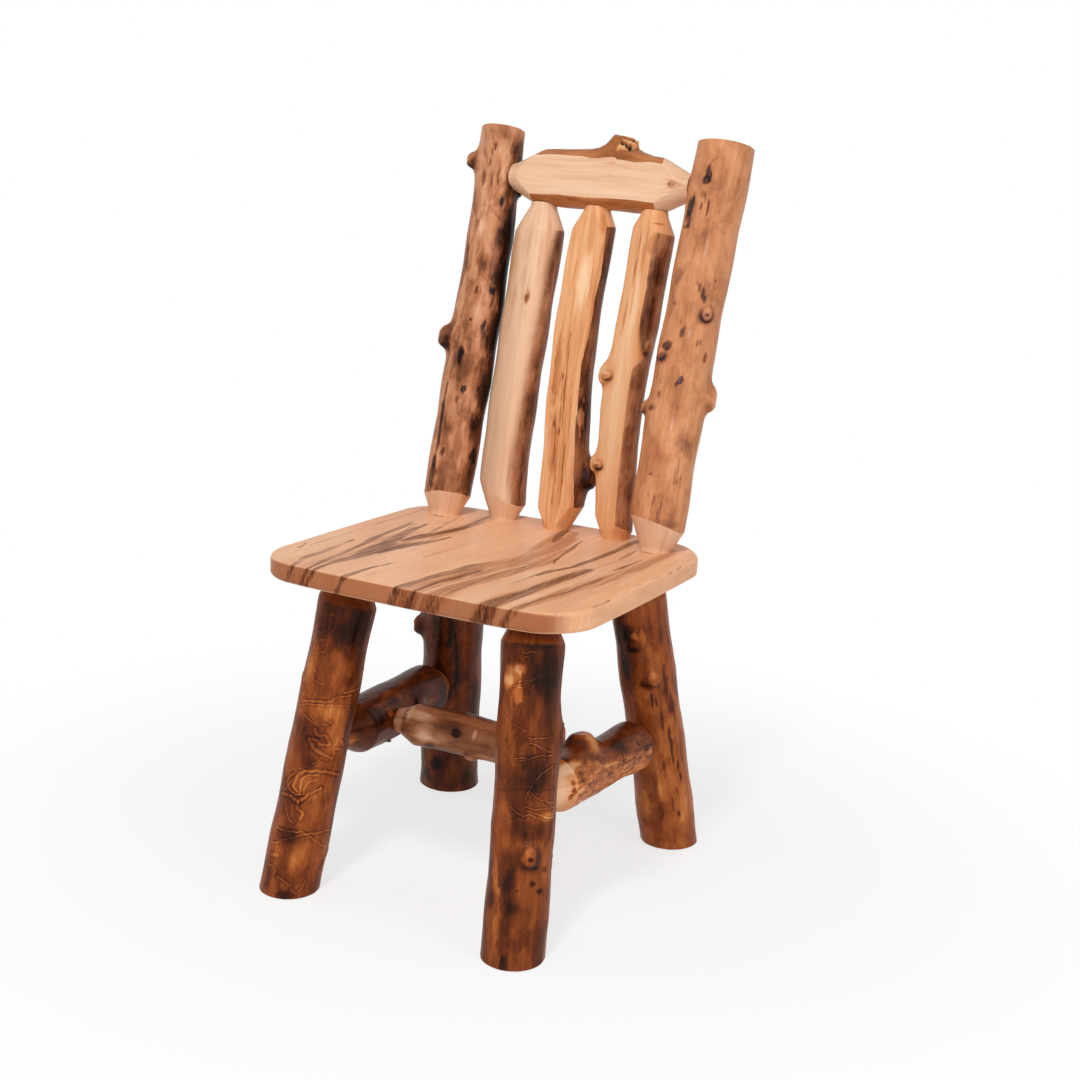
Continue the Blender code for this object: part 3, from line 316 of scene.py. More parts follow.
def ramp(tree, value, stops, kind="LINEAR"):
    """A colour ramp through rows of place, red, green and blue."""
    node = add_node(tree, "ShaderNodeValToRGB", Fac=value)
    band = node.color_ramp
    band.interpolation = kind
    while len(band.elements) < len(stops):
        band.elements.new(0.5)
    for element, (place, *colour) in zip(band.elements, stops):
        element.position = place
        element.color = srgb(*colour)
    return node.outputs["Color"]


def attribute(tree, name, output="Fac"):
    """A value stored on the mesh."""
    return add_node(tree, "ShaderNodeAttribute", {"attribute_name": name}).outputs[output]


def object_place(tree):
    """The place on the object."""
    return add_node(tree, "ShaderNodeTexCoord").outputs["Object"]


def noise(tree, vector, scale, detail=3.0, rough=0.55, warp=0.0, stretch=None):
    """Noise from 0 to 1 at a scale given per metre, stretched along axes of less than 1."""
    if stretch:
        vector = add_node(tree, "ShaderNodeMapping", i0=vector, Scale=stretch).outputs[0]
    node = add_node(tree, "ShaderNodeTexNoise", Vector=vector, Scale=scale, Detail=detail,
                    Roughness=rough, Distortion=warp)
    return node.outputs["Fac"]


def new_finish(name, coat=0.13, specular=0.05):
    """A material with a clear coat, its tree and its shader."""
    finish = bpy.data.materials.new(name)
    finish.use_nodes = True
    shader = finish.node_tree.nodes["Principled BSDF"]
    shader.inputs["Specular IOR Level"].default_value = specular
    shader.inputs["Coat Weight"].default_value = coat
    shader.inputs["Coat Roughness"].default_value = 0.15
    return finish, finish.node_tree, shader


def dress(tree, shader, colour, roughness, height=None, strength=0.0, distance=0.0):
    """Give a shader its colour, its roughness and the bump of its grain."""
    tree.links.new(colour, shader.inputs["Base Color"])
    shader.inputs["Roughness"].default_value = roughness
    if height:
        bump = add_node(tree, "ShaderNodeBump", Height=height, Strength=strength,
                        Distance=distance)
        tree.links.new(bump.outputs[0], shader.inputs["Normal"])


def centred(tree, value, amount):
    """A 0 to 1 noise turned into a swing of the given size about zero."""
    return math_node(tree, "MULTIPLY", math_node(tree, "SUBTRACT", value, 0.5), amount)


def total(tree, *values):
    """The sum of several values."""
    result = values[0]
    for value in values[1:]:
        result = math_node(tree, "ADD", result, value)
    return result


def fade(tree, value, low, high, to_low=0.0, to_high=1.0, kind="SMOOTHSTEP"):
    """One level below low, another above high and a smooth change between."""
    node = add_node(tree, "ShaderNodeMapRange", {"interpolation_type": kind}, Value=value,
                    From_Min=low, From_Max=high, To_Min=to_low, To_Max=to_high)
    return node.outputs[0]


def maple_finish():
    """Pale pinkish maple with painted streaks, fine grain lines and clear lacquer."""
    finish, tree, shader = new_finish("streaky_maple", coat=0.07)
    place = object_place(tree)
    fibres = noise(tree, place, 420, 4, 0.6, stretch=(1, 0.03, 0.15))
    lines = fade(tree, noise(tree, place, 620, 3, 0.6, 0.2, (1, 0.022, 0.12)), 0.42, 0.58)
    wisps = noise(tree, place, 110, 5, 0.65, 0.6, (1, 0.07, 0.3))
    cloud = noise(tree, place, 14, 3, stretch=(1, 0.4, 1))
    base = ramp(tree, cloud, table(".3 230 174 136, .5 241 184 143, .7 245 194 156"))
    width = 2 * SEAT_HALF_WIDTH
    across = add_node(tree, "ShaderNodeSeparateXYZ", Vector=place).outputs[0]
    across = math_node(tree, "ADD", math_node(tree, "DIVIDE", across, width), 0.5)
    seams = [seam / width + 0.5 for seam in SEAT_SEAMS]
    boards = table("250 250 250, 255 255 255, 249 246 244, 255 253 250")
    boards = [(start, *tint) for start, tint in zip([0] + seams, boards)]
    base = mix_colours(tree, 1.0, base, ramp(tree, across, boards, "CONSTANT"), "MULTIPLY")
    brown = fade(tree, total(tree, attribute(tree, "brown"), centred(tree, wisps, 1.5)), 0.25, 0.85)
    brown = math_node(tree, "MULTIPLY", brown, math_node(tree, "MULTIPLY_ADD", lines, 0.40, 0.44))
    colour = mix_colours(tree, brown, base, srgb(176, 106, 64))
    dark = total(tree, centred(tree, fibres, 1.5), centred(tree, wisps, 1.0))
    dark = fade(tree, total(tree, attribute(tree, "streak"), dark), 0.32, 0.80)
    dark = math_node(tree, "MULTIPLY", dark, math_node(tree, "MULTIPLY_ADD", lines, 0.40, 0.56))
    colour = mix_colours(tree, dark, colour, srgb(112, 64, 38))
    colour = mix_colours(tree, attribute(tree, "pale"), colour, srgb(238, 190, 154))
    grain = ramp(tree, fibres, table(".3 226 218 210, .6 255 255 255"))
    end = attribute(tree, "end")
    weaker = math_node(tree, "MULTIPLY_ADD", end, -0.35, 0.5)
    colour = mix_colours(tree, weaker, colour, grain, "MULTIPLY")
    gnawed = centred(tree, noise(tree, place, 500), 1.2)
    worm = fade(tree, total(tree, attribute(tree, "worm"), gnawed), 0.3, 0.7)
    colour = mix_colours(tree, worm, colour, srgb(122, 74, 46))
    for seam in seams:
        near = math_node(tree, "ABSOLUTE", math_node(tree, "SUBTRACT", across, seam))
        line = math_node(tree, "LESS_THAN", near, SEAM_HALF_WIDTH / width)
        line = math_node(tree, "MULTIPLY", line, 0.30)
        colour = mix_colours(tree, line, colour, srgb(150, 100, 70))
    colour = mix_colours(tree, end, colour, srgb(188, 155, 134), "MULTIPLY")
    dress(tree, shader, colour, roughness=0.45, height=fibres, strength=0.15, distance=0.0002)
    return finish


def paint_seat(slab):
    """Store the boards' streaks on the slab; they lean as they run down the edge."""
    x, y, z = points_of(slab.data).T
    depth = SEAT_TOP - z
    lean = np.where(y - SEAT_MIDDLE_Y < -0.15, 0.45, 0.0) * depth
    flat = np.stack((x + lean, y - SEAT_MIDDLE_Y), axis=1) * 1000
    wobble = drift(np.column_stack((flat[:, 0] / 9, flat[:, 1] / 45, depth * 60)), 5)
    facing = np.empty(len(flat) * 3)
    slab.data.vertex_normals.foreach_get("vector", facing)
    facing = np.abs(facing.reshape(-1, 3))
    give_attribute(slab.data, "end", blend_step(0.5, 0.85, facing[:, 1]))
    side = 1 - 0.85 * blend_step(0.5, 0.85, facing[:, 0])
    flat[:, 0] += 2.0 * wobble
    for name, streaks in (("streak", DARK_STREAKS), ("brown", BROWN_STREAKS),
                          ("pale", PALE_STREAKS)):
        value = np.zeros(len(flat))
        for strength, *stroke in table(streaks):
            gap = stroke_distance(flat, np.reshape(stroke, (-1, 3)))
            value = np.maximum(value, strength * blend_step(1.25, 0.55, gap))
        give_attribute(slab.data, name, value * side)
    worm = np.zeros(len(flat))
    for back_x, back_y, front_x, front_y in table(WORM_TRACKS):
        gap = stroke_distance(flat, ((back_x, back_y, 1.1), (front_x, front_y, 0.9)))
        worm = np.maximum(worm, 0.5 * blend_step(1.4, 0.6, gap))
    give_attribute(slab.data, "worm", worm)


seat_slab = build_seat()
paint_seat(seat_slab)
seat_slab.data.materials.append(maple_finish())
shade(seat_slab, degrees=50)
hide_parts("seat_board_1", "seat_board_2", "seat_board_3", "seat_board_4")
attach(seat_slab, "root")


# Legs. Four peeled aspen poles, sawn level at the floor and tenoned up into the seat at a splay.
# The tenon cutter left a pale cone below the seat. Under the bark, beetles had cut shallow
# galleries, which show as pale, curling tracks under the dark brown lacquered skin.
LOG_PITCH, FINE_PITCH = ((0.00135, 0.0011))
FEWEST_RINGS = 24
CONE_SLOPE, CONE_ROUNDING, FLARE, FLARE_LENGTH = 0.48, 0.0012, 0.0018, 0.0045
SINK, FLOOR_BLEND = 0.0025, 0.07
TENON_RADIUS, TENON_DEPTH = 0.0127, 0.012
SAWN_BAND = 0.0030
SAWN_EDGE = table(".0022 .992, .0008 .967, 0 .94, 0 .8, 0 .62, 0 .44, 0 .26, 0 .08")
SAWN_FACE, SAWN_ARRIS = 0.95, 0.996
LUMP_SHARE, LUMP_LENGTH, OVAL_SHARE, LUMP_PHASE = 0.018, 0.110, 0.016, 0.062
BARK_LUMPS, BARK_GRIT, BARK_FIBRES = 0.0006, 0.0003, 0.00015
TRACK_LIFT, TRACK_GROOVE, TRACK_WANDER = 0.50, 0.36, 1.5
FACE_START, TORN_END, TORN_EDGE = 205, 265, 250
HEAD_RADIUS, HEAD_RECESS = 0.0058, 0.0015
FRONT_RIGHT, CROSS_FRONT = -62, 60
KNOT_SIDE = np.array(table("0 1, .5 .98, .78 .9, .98 .68, 1.15 .42, 1.4 .2, 1.8 .07, 2.4 0")).T


def bell(value, width):
    """1 where the value is 0, falling away on both sides."""
    return np.exp(-(value / width) ** 2)


def soft_min(first, second, rounding):
    """The smaller of two values, with the change between them rounded."""
    near = np.maximum(rounding - np.abs(first - second), 0) / rounding
    return np.minimum(first, second) - near * near * rounding / 4


def cone(neck, above):
    """Radius of a cutter's cone, flared a little over the wood that it is pressed against."""
    return neck + CONE_SLOPE * above + FLARE * bell(above, FLARE_LENGTH)


def smooth_rows(rows, share):
    """Smooth value of each column of a table of rows at many shares of the length."""
    rows = np.array(table(rows))
    at = np.clip(np.searchsorted(rows[:, 0], share, side="right") - 1, 0, len(rows) - 2)
    before, after = rows[np.maximum(at - 1, 0)], rows[np.minimum(at + 2, len(rows) - 1)]
    low, high = rows[at], rows[at + 1]
    t = ((share - low[:, 0]) / (high[:, 0] - low[:, 0]))[:, None]
    bend = (high - before) * t + (2 * before - 5 * low + 4 * high - after) * t * t
    bend += (3 * low - before - 3 * high + after) * t ** 3
    return (low + bend / 2)[:, 1:].T


def beetle_tracks(seed, count, sides, heights):
    """Curling tracks of half width, height and points in millimetres, as beetles cut them."""
    rng = np.random.default_rng(seed)
    tracks = []
    for _ in range(count):
        at = np.array([rng.uniform(*sides), rng.uniform(*heights)])
        heading, bend = rng.uniform(-0.7, 0.7) + math.pi * rng.integers(2), rng.normal(0, 0.03)
        line = []
        for _ in range(int(rng.uniform(4, 12))):
            line.extend(at)
            heading += bend * 4 + rng.normal(0, 0.12)
            at = at + 4 * np.array((math.cos(heading), math.sin(heading)))
        tracks.append([rng.uniform(0.8, 1.5), rng.uniform(0.2, 0.4), *line])
    return tracks


def screw_heads(names):
    """The outer point and outward direction of each screw's head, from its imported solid."""
    for name in names:
        co = points_of(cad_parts[name].data)
        middle = co.mean(axis=0)
        axis = np.linalg.svd(co - middle, full_matrices=False)[2][0]
        along = (co - middle) @ axis
        off = np.linalg.norm(co - middle - along[:, None] * axis, axis=1)
        if along[np.argmax(off)] < 0:
            axis, along = -axis, -along
        yield middle + axis * along.max(), axis


def log_rings(length, foot, head, pitch):
    """Rows of height, widest radius and squeeze from a log's lower tip to its upper one."""
    low = foot[1] if foot else 0.0
    high = length - head[1] if head else length
    count = max(FEWEST_RINGS, int((high - low) / pitch))
    rings = [[z, 1.0, 1.0] for z in np.linspace(low, high, count)]
    for ring in rings:
        if foot:
            ring[1] = cone(foot[0], ring[0] - low)
        if head:
            ring[1] = min(ring[1], cone(head[0], high - ring[0]))
    for shoulder, first in ((foot, True), (head, False)):
        edge, way = (low, -1) if first else (high, 1)
        if shoulder:
            tip = edge + way * TENON_DEPTH
            extra = [[edge, TENON_RADIUS, 1.0], [tip, TENON_RADIUS, 1.0]]
            extra += [[tip, TENON_RADIUS / 2, 1.0]]
        else:
            rings[0 if first else -1] = [edge - way * SAWN_BAND, 1.0, 1.0]
            extra = [[edge - way * inset, 1.0, share] for inset, share in SAWN_EDGE]
        rings = extra[::-1] + rings if first else rings + extra
    return np.array(rings)


def roll_log(name, around, count):
    """A grid rolled into a closed pole, with each point's bearing and ring number."""
    log = new_grid(name, around, count - 1)
    mesh = log.data
    co = points_of(mesh)
    rolled = np.column_stack((np.cos(math.pi * co[:, 0]), np.sin(math.pi * co[:, 0]), co[:, 1]))
    mesh.vertices.foreach_set("co", rolled.ravel())
    bpy.ops.object.mode_set(mode="EDIT")
    bpy.ops.mesh.select_all(action="SELECT")
    bpy.ops.mesh.remove_doubles(threshold=0.0001)
    bpy.ops.mesh.select_all(action="DESELECT")
    bpy.ops.object.mode_set(mode="OBJECT")
    shape = bmesh.new()
    shape.from_mesh(mesh)
    bmesh.ops.holes_fill(shape, edges=[edge for edge in shape.edges if edge.is_boundary], sides=0)
    bmesh.ops.recalc_face_normals(shape, faces=shape.faces)
    shape.to_mesh(mesh)
    shape.free()
    x, y, z = points_of(mesh).T
    return log, np.arctan2(y, x), np.round((z + 1) / 2 * (count - 1)).astype(int)


def make_log(name, start, end, side, radius, rows, tone, mottle=0.12, relief=1.0, pitch=LOG_PITCH,
             foot=None, head=None, bare_ends=(1, 1), flats="", dressed="", torn="", frayed=1.5,
             knots="", marks="", tracks=(), stub=None, screws=(), floor=False):
    """A pole from a rolled grid: swayed, knotted and lumped, then coned, planed and painted.

    rows: share of the length, size, sway along x and y. foot and head: neck radius of the cone
    and inset of its shoulder. Lengths in the other tables are millimetres from the start, and
    angles are degrees from local X. flats: angle, depth, rounding. dressed: height and angle of
    the right edge of the face. torn: height and angle of the upper edge of torn bark. knots:
    height, angle, radius, reach, darkness. marks: height, angle, half length, half width, change
    of tone. tracks: half width, change of tone, then points of arc and height. bare_ends: 1 for a
    pale cone, 0 for one as dark as the skin. frayed: half width of the edge of the dressed face.
    stub: what raises a branch stub. screws: those whose heads sit in it. floor: sawn level.
    """
    start, end, side = Vector(start), Vector(end), Vector(side)
    length = (end - start).length
    axis = (end - start).normalized()
    across = (side - axis * side.dot(axis)).normalized()
    up = axis.cross(across)
    rings = log_rings(length, foot, head, pitch)
    log, theta, ring = roll_log(name + "_log", int(2 * math.pi * radius / pitch), len(rings))
    z, limit, squeeze = rings[ring].T
    sawn = squeeze < SAWN_FACE
    seed = sum(ord(letter) for letter in log.name)
    ball = np.column_stack((np.cos(theta), np.sin(theta))) * radius

    def grit(round_scale, long_scale, number):
        return drift(np.column_stack((ball * round_scale, z * long_scale)), seed + number)

    def arc_from(degrees):
        turn = math.radians(degrees)
        return radius * np.arctan2(np.sin(theta - turn), np.cos(theta - turn)) * 1000

    size, sway_x, sway_y = smooth_rows(rows, np.clip(z / length, 0, 1))
    coarse, middle = grit(38, 22, 0), grit(110, 60, 1)
    bark = BARK_LUMPS * coarse + BARK_GRIT * middle + BARK_FIBRES * grit(420, 16, 2)
    pole = size * radius + relief * bark
    x = sway_x * radius + pole * np.cos(theta)
    y = sway_y * radius + pole * np.sin(theta)
    angle, phase = np.arctan2(y, x), len(name) * radius / LUMP_PHASE
    swell = 1 + LUMP_SHARE * np.sin(2 * math.pi * z / LUMP_LENGTH + 2 * angle + phase)
    swell += OVAL_SHARE * np.cos(2 * angle + phase)
    x, y = x * swell, y * swell
    height = z * 1000
    change = np.zeros(len(z))
    warp = 0.45 * grit(380, 100, 9) + 0.28 * grit(110, 34, 10)
    for at, bearing, long, wide, amount in table(marks):
        gap = np.hypot(arc_from(bearing) / max(wide, 0.9), (height - at) / long)
        soft = 0.25 if wide > 8 else 0.60
        gap *= 1 + warp * min(1, max(0.35, 6 / wide))
        change += amount * blend_step(1.3, soft, gap)
    for at, bearing, wide, reach, dark in table(knots):
        turn = math.radians(bearing)
        rise = (height - at) / wide
        gap = np.hypot(arc_from(bearing) / wide, rise * np.where(rise > 0, 0.72, 1))
        gap = gap * (1 + 0.08 * grit(120, 120, 7))
        under = 0.7 - 0.5 * np.clip(rise / np.maximum(gap, 0.3), -1, 1)
        lift = np.interp(gap, *KNOT_SIDE) * reach
        folds = 0.35 * np.cos(gap * 12) * blend_step(1.3, 0.8, gap)
        folds -= 0.9 * blend_step(0.25, 0.05, gap)
        lift += min(1.0, wide / 10) * min(1.0, reach / 4) * folds
        x, y = x + lift * math.cos(turn) / 1000, y + lift * math.sin(turn) / 1000
        # Below each knot's bump the skin is darkened as painted shade. The dark core and thin ring
        # at its middle are the knot's own, and its face is paler.
        shade_and_knot_core = under * (0.7 * bell(gap - 1.15, 0.28) + 0.4 * blend_step(2.4, 1.2, gap))
        shade_and_knot_core += 0.5 * bell(gap, 0.24) + 0.3 * bell(gap - 0.6, 0.1)
        change += dark * shade_and_knot_core - 0.16 * blend_step(1.0, 0.7, gap)
    flat = np.column_stack((arc_from(FRONT_RIGHT if side.z < 0.5 else CROSS_FRONT), height))
    if tracks:
        flat += TRACK_WANDER * np.column_stack((grit(170, 170, 12), grit(170, 170, 13)))
    lift, pale = np.zeros(len(z)), np.zeros(len(z))
    for wide, amount, *line in tracks:
        line = np.reshape(line, (-1, 2))
        low, high = line.min(axis=0) - 6 * wide, line.max(axis=0) + 6 * wide
        near = np.all((flat > low) & (flat < high), axis=1)
        gap = stroke_distance(flat[near], [(*point, wide) for point in line])
        gap *= 1 + 0.4 * warp[near]
        core, groove = bell(gap, 0.95), bell(gap - 2.0, 0.75)
        if amount < 0:
            core, groove = -core, core * 0.6
        ditch = TRACK_GROOVE * wide * groove * (core < 0.5)
        lift[near] = np.maximum(lift[near], TRACK_LIFT * wide * core) - ditch
        # The groove beside a raised track, and the channel of a sunk one, are darkened as painted
        # shade. The raised core is lightened, partly as pale gallery wood and partly as a painted
        # highlight on its ridge.
        pale[near] += 0.40 * groove * abs(amount) * (core < 0.6)
        pale[near] -= 0.45 * amount * np.maximum(core, 0)
    x, y = x + lift * np.cos(theta) / 1000, y + lift * np.sin(theta) / 1000
    change += np.clip(pale, -0.4, 0.35)
    if stub:
        x, y, change = stub(x, y, z, theta, change, length, radius)
    reach = np.hypot(x, y)
    cut = soft_min(reach, limit, CONE_ROUNDING)
    bare = blend_step(-0.0003, 0.0005, reach - limit)
    bare *= np.where(z < length / 2, bare_ends[0], bare_ends[1])
    x, y = x * cut / reach, y * cut / reach
    for bearing, depth, rounding in table(flats):
        turn = math.radians(bearing)
        out = x * math.cos(turn) + y * math.sin(turn)
        face = radius - depth / 1000
        planed = soft_min(out, np.full(len(out), face), rounding / 1000)
        bare = np.maximum(bare, blend_step(-0.0003, 0.0006, out - face))
        x, y = x + (planed - out) * math.cos(turn), y + (planed - out) * math.sin(turn)
    if dressed:
        turned = (np.degrees(theta) + FACE_START + 4 * warp) % 360
        over = np.interp(height, *zip(*table(dressed))) + FACE_START - turned
        bare = np.maximum(bare, blend_step(-frayed, frayed, over) * blend_step(0, 4, turned))
    if torn:
        turned = np.degrees(theta) % 360
        over = turned - np.interp(height, *zip(*table(torn))) + 9 * warp
        loose = blend_step(-1.2, 1.2, over) * blend_step(TORN_END, TORN_EDGE, turned)
        loose *= reach < limit
        bare = np.maximum(bare, loose)
        change += loose * (0.26 + 0.5 * warp + 0.10 * grit(200, 160, 11))
        change -= 0.3 * bell(over + 2, 2.5) * (loose < 0.5) * (reach < limit)
    bare = np.where((squeeze < SAWN_ARRIS) & ~sawn, 1.0, bare)
    x, y = x * squeeze, y * squeeze
    if floor:
        z = z - (across.z * x + up.z * y) / axis.z * blend_step(FLOOR_BLEND, 0.0, z)
    world = np.array(start) + np.column_stack((x, y, z)) @ np.array((across, up, axis))
    for point, out in screw_heads(screws):
        rise = (world - point) @ out
        off = np.linalg.norm(world - point - rise[:, None] * out, axis=1)
        hole = (rise > -HEAD_RECESS) & (off < HEAD_RADIUS)
        world[hole] -= ((rise + HEAD_RECESS)[:, None] * out)[hole]
        # The recess round each screw head is darkened as painted shade.
        change[hole] += 0.5
    grain = np.column_stack((ball[:, 0] + sway_x * radius, ball[:, 1] + sway_y * radius, z))
    grain[sawn] = np.column_stack((x, y, z))[sawn]
    log.data.vertices.foreach_set("co", world.ravel())
    log.data.update()
    speckle = 0.5 * coarse + 0.5 * middle + 0.4 * grit(200, 12, 3)
    for kind, values in (("grain", grain), ("tone", tone + mottle * speckle + change),
                         ("stain", change), ("bare", bare), ("sawn", sawn.astype(float))):
        give_attribute(log.data, kind, values)
    shade(log, degrees=55)
    return log


def aspen_finish(name, skin, bare, fibre, blotch, patchy=0.10, figure=0.45, soft=0.1):
    """Lacquered aspen: ramps of colour for the skin and for the bare wood of cones and faces.

    fibre, blotch and patchy: how far the skin's tone swings in fibres, clouds and patches.
    figure: the same for the bare wood's streaks. soft: how gently skin turns into bare wood.
    """
    finish, tree, shader = new_finish(name)
    grain = attribute(tree, "grain", "Vector")
    long_fibre = noise(tree, grain, 330, 5, 0.62, 0.3, (1, 1, 0.035))
    streak = noise(tree, grain, 95, 4, 0.6, 0.5, (1, 1, 0.07))
    cloud = noise(tree, grain, 60, 5, 0.62, 0.8, (1, 1, 0.55))
    patch = fade(tree, noise(tree, grain, 34, 5, 0.62, 0.5, (1, 1, 0.45)), 0.45, 0.60)
    fleck = fade(tree, noise(tree, grain, 260, 2, 0.5, 0.4, (1, 1, 0.22)), 0.66, 0.72)
    tone = total(tree, attribute(tree, "tone"), centred(tree, long_fibre, fibre),
                 centred(tree, streak, fibre), centred(tree, cloud, blotch),
                 centred(tree, patch, patchy), math_node(tree, "MULTIPLY", fleck, 0.12))
    outer = ramp(tree, tone, skin)
    lines = total(tree, attribute(tree, "stain"), centred(tree, streak, figure),
                  centred(tree, long_fibre, 0.3), 0.3)
    inner = ramp(tree, lines, bare)
    edge = total(tree, attribute(tree, "bare"), centred(tree, streak, 0.4))
    colour = mix_colours(tree, fade(tree, edge, 0.5 - soft, 0.5 + soft), outer, inner)
    split = add_node(tree, "ShaderNodeSeparateXYZ", Vector=grain)
    squares = [math_node(tree, "POWER", split.outputs[i], 2.0) for i in (0, 1)]
    radial = math_node(tree, "MULTIPLY", math_node(tree, "SQRT", total(tree, *squares)), 2400.0)
    radial = total(tree, radial, centred(tree, noise(tree, grain, 120), 6.0))
    rings = math_node(tree, "MULTIPLY", math_node(tree, "SINE", radial), 0.10)
    rings = total(tree, rings, centred(tree, noise(tree, grain, 900), 0.4), 0.42)
    colour = mix_colours(tree, attribute(tree, "sawn"), colour, ramp(tree, rings, bare))
    height = total(tree, math_node(tree, "MULTIPLY", long_fibre, 0.6),
                   math_node(tree, "MULTIPLY", cloud, 0.8))
    dress(tree, shader, colour, roughness=0.40, height=height, strength=0.6, distance=0.0006)
    return finish


def finish_log(log, slot, skin, bare, **looks):
    """Give a log its finish and tie it to the frame in place of its CAD solid."""
    finish = aspen_finish(log.name.replace("_log", "_finish"), skin, bare, **looks)
    log.data.materials.append(finish)
    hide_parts(log.name.replace("_log", ""))
    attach(log, "root")


# Each skin and each bare wood is a ramp from pale to dark, as rows of place, red, green and blue.
DARK_SKIN = table("0 226 164 108, .2 192 112 56, .4 152 78 34, .6 102 46 18, .8 58 24 9, 1 26 11 5")
# SHADED_TAN_WOOD is tan bare wood darkened with painted shade, for the cones under the seat on the
# legs and the left stretcher.
SHADED_TAN_WOOD = table("0 186 116 66, .3 148 80 40, .5 114 56 25, .75 70 32 14, 1 32 15 7")
LEG_TOP_Z, LEG_NECK = 0.430, 0.020
FRONT_FOOT, FRONT_TOP = (0.172, -0.2443), (0.1385, -0.1656)
REAR_FOOT, REAR_TOP = (0.1917, 0.2023), (0.1446, 0.1079)
LEFT_LEG_TRACKS = """
    .8 .3 -23 389 -18 385 -10 385, .8 .3 -41 369 -26 361 -18 361 -13 374 -8 376,
    1 .3 -37 355 -24 360 -17 358 -18 351 -26 348 -17 348 -12 343 -15 335 -23 331 -29 333 -38 340,
    .8 .35 -37 315 -23 305 -10 295 3 288, 1.2 -.4 -40 266 -17 270 -1 273,
    1 .4 -34 262 -14 268 7 271 16 279 38 281, .8 .35 -40 254 -13 264 42 268,
    1 .35 -40 254 -29 248 -16 242 -3 239 13 240, .8 .3 -22 257 -17 247 -3 241,
    1.4 .35 -6 232 -2 223 9 225 18 215, 1.8 .35 -10 217 -1 217 7 212 19 213,
    1.8 .35 -10 215 -1 205 12 198 25 195, .8 .25 -13 184 -10 194 -9 201,
    .8 .25 -2 180 3 187 12 187 14 182, 1.3 .35 -12 138 -25 143 -31 153 -24 164,
    1.5 .4 -8 139 -19 148 -18 162 -8 172 10 176 30 175 48 170,
    1.2 .35 -6 140 -10 150 -9 162 0 169 11 170, 1.2 .3 -3 142 -3 152 0 159 10 163,
    1.6 .45 -38 132 -23 135 -8 130 3 142 19 153, 1.4 .4 -8 130 -8 121 1 116 -2 108,
    1 .35 -28 126 -22 112 -15 102 -8 100, 1 .3 -17 123 -13 110 -6 103,
    1 .25 25 151 31 134 32 118 28 106, 1.1 .45 -35 86 -16 87 2 90 11 89 36 93 59 92,
    1 .4 -32 66 -16 74 -3 82 11 89 22 81 38 73 66 64, .8 .35 -30 83 -18 73, .8 .4 -40 62 -24 68,
    1 .3 -41 37 -27 38 -17 34, 1 .3 -16 28 -3 24 5 19, 1.1 .35 6 14 14 8 21 15 24 25,
    .9 .3 -10 13 -13 5"""
RIGHT_LEG_TRACKS = """
    .6 .7 -15 387 -6 389 3 390, .6 .7 -13 375 -10 383 -1 383, .6 .6 -17 351 -1 355 19 364 37 366,
    .6 .6 -24 345 -12 346 -1 343 -2 339, .6 .5 -14 340 -16 331 -4 325,
    .7 .6 -38 310 -35 304 -16 298 -2 290, .7 .7 -3 283 12 284 30 285, .7 .6 0 277 15 273 35 264,
    .6 .6 -2 282 2 275, .7 .8 -17 258 2 259 18 262 37 262, .7 .6 -15 255 2 256 6 261,
    .8 .7 10 231 19 240 30 246 38 249, .6 .6 12 228 19 235,
    .8 -.6 -45 215 -27 214 -14 219 1 220 15 218 35 219 62 214, .7 .7 4 218 13 209 33 203 59 197,
    .7 .7 -2 200 10 196 27 195 53 196, .7 .7 3 193 17 189 35 183 59 181,
    .9 .6 -26 203 -18 196 -10 190 -1 186 6 189 15 184, .8 -.6 -27 183 -17 182 -3 187,
    .7 .7 8 224 2 215 6 209"""
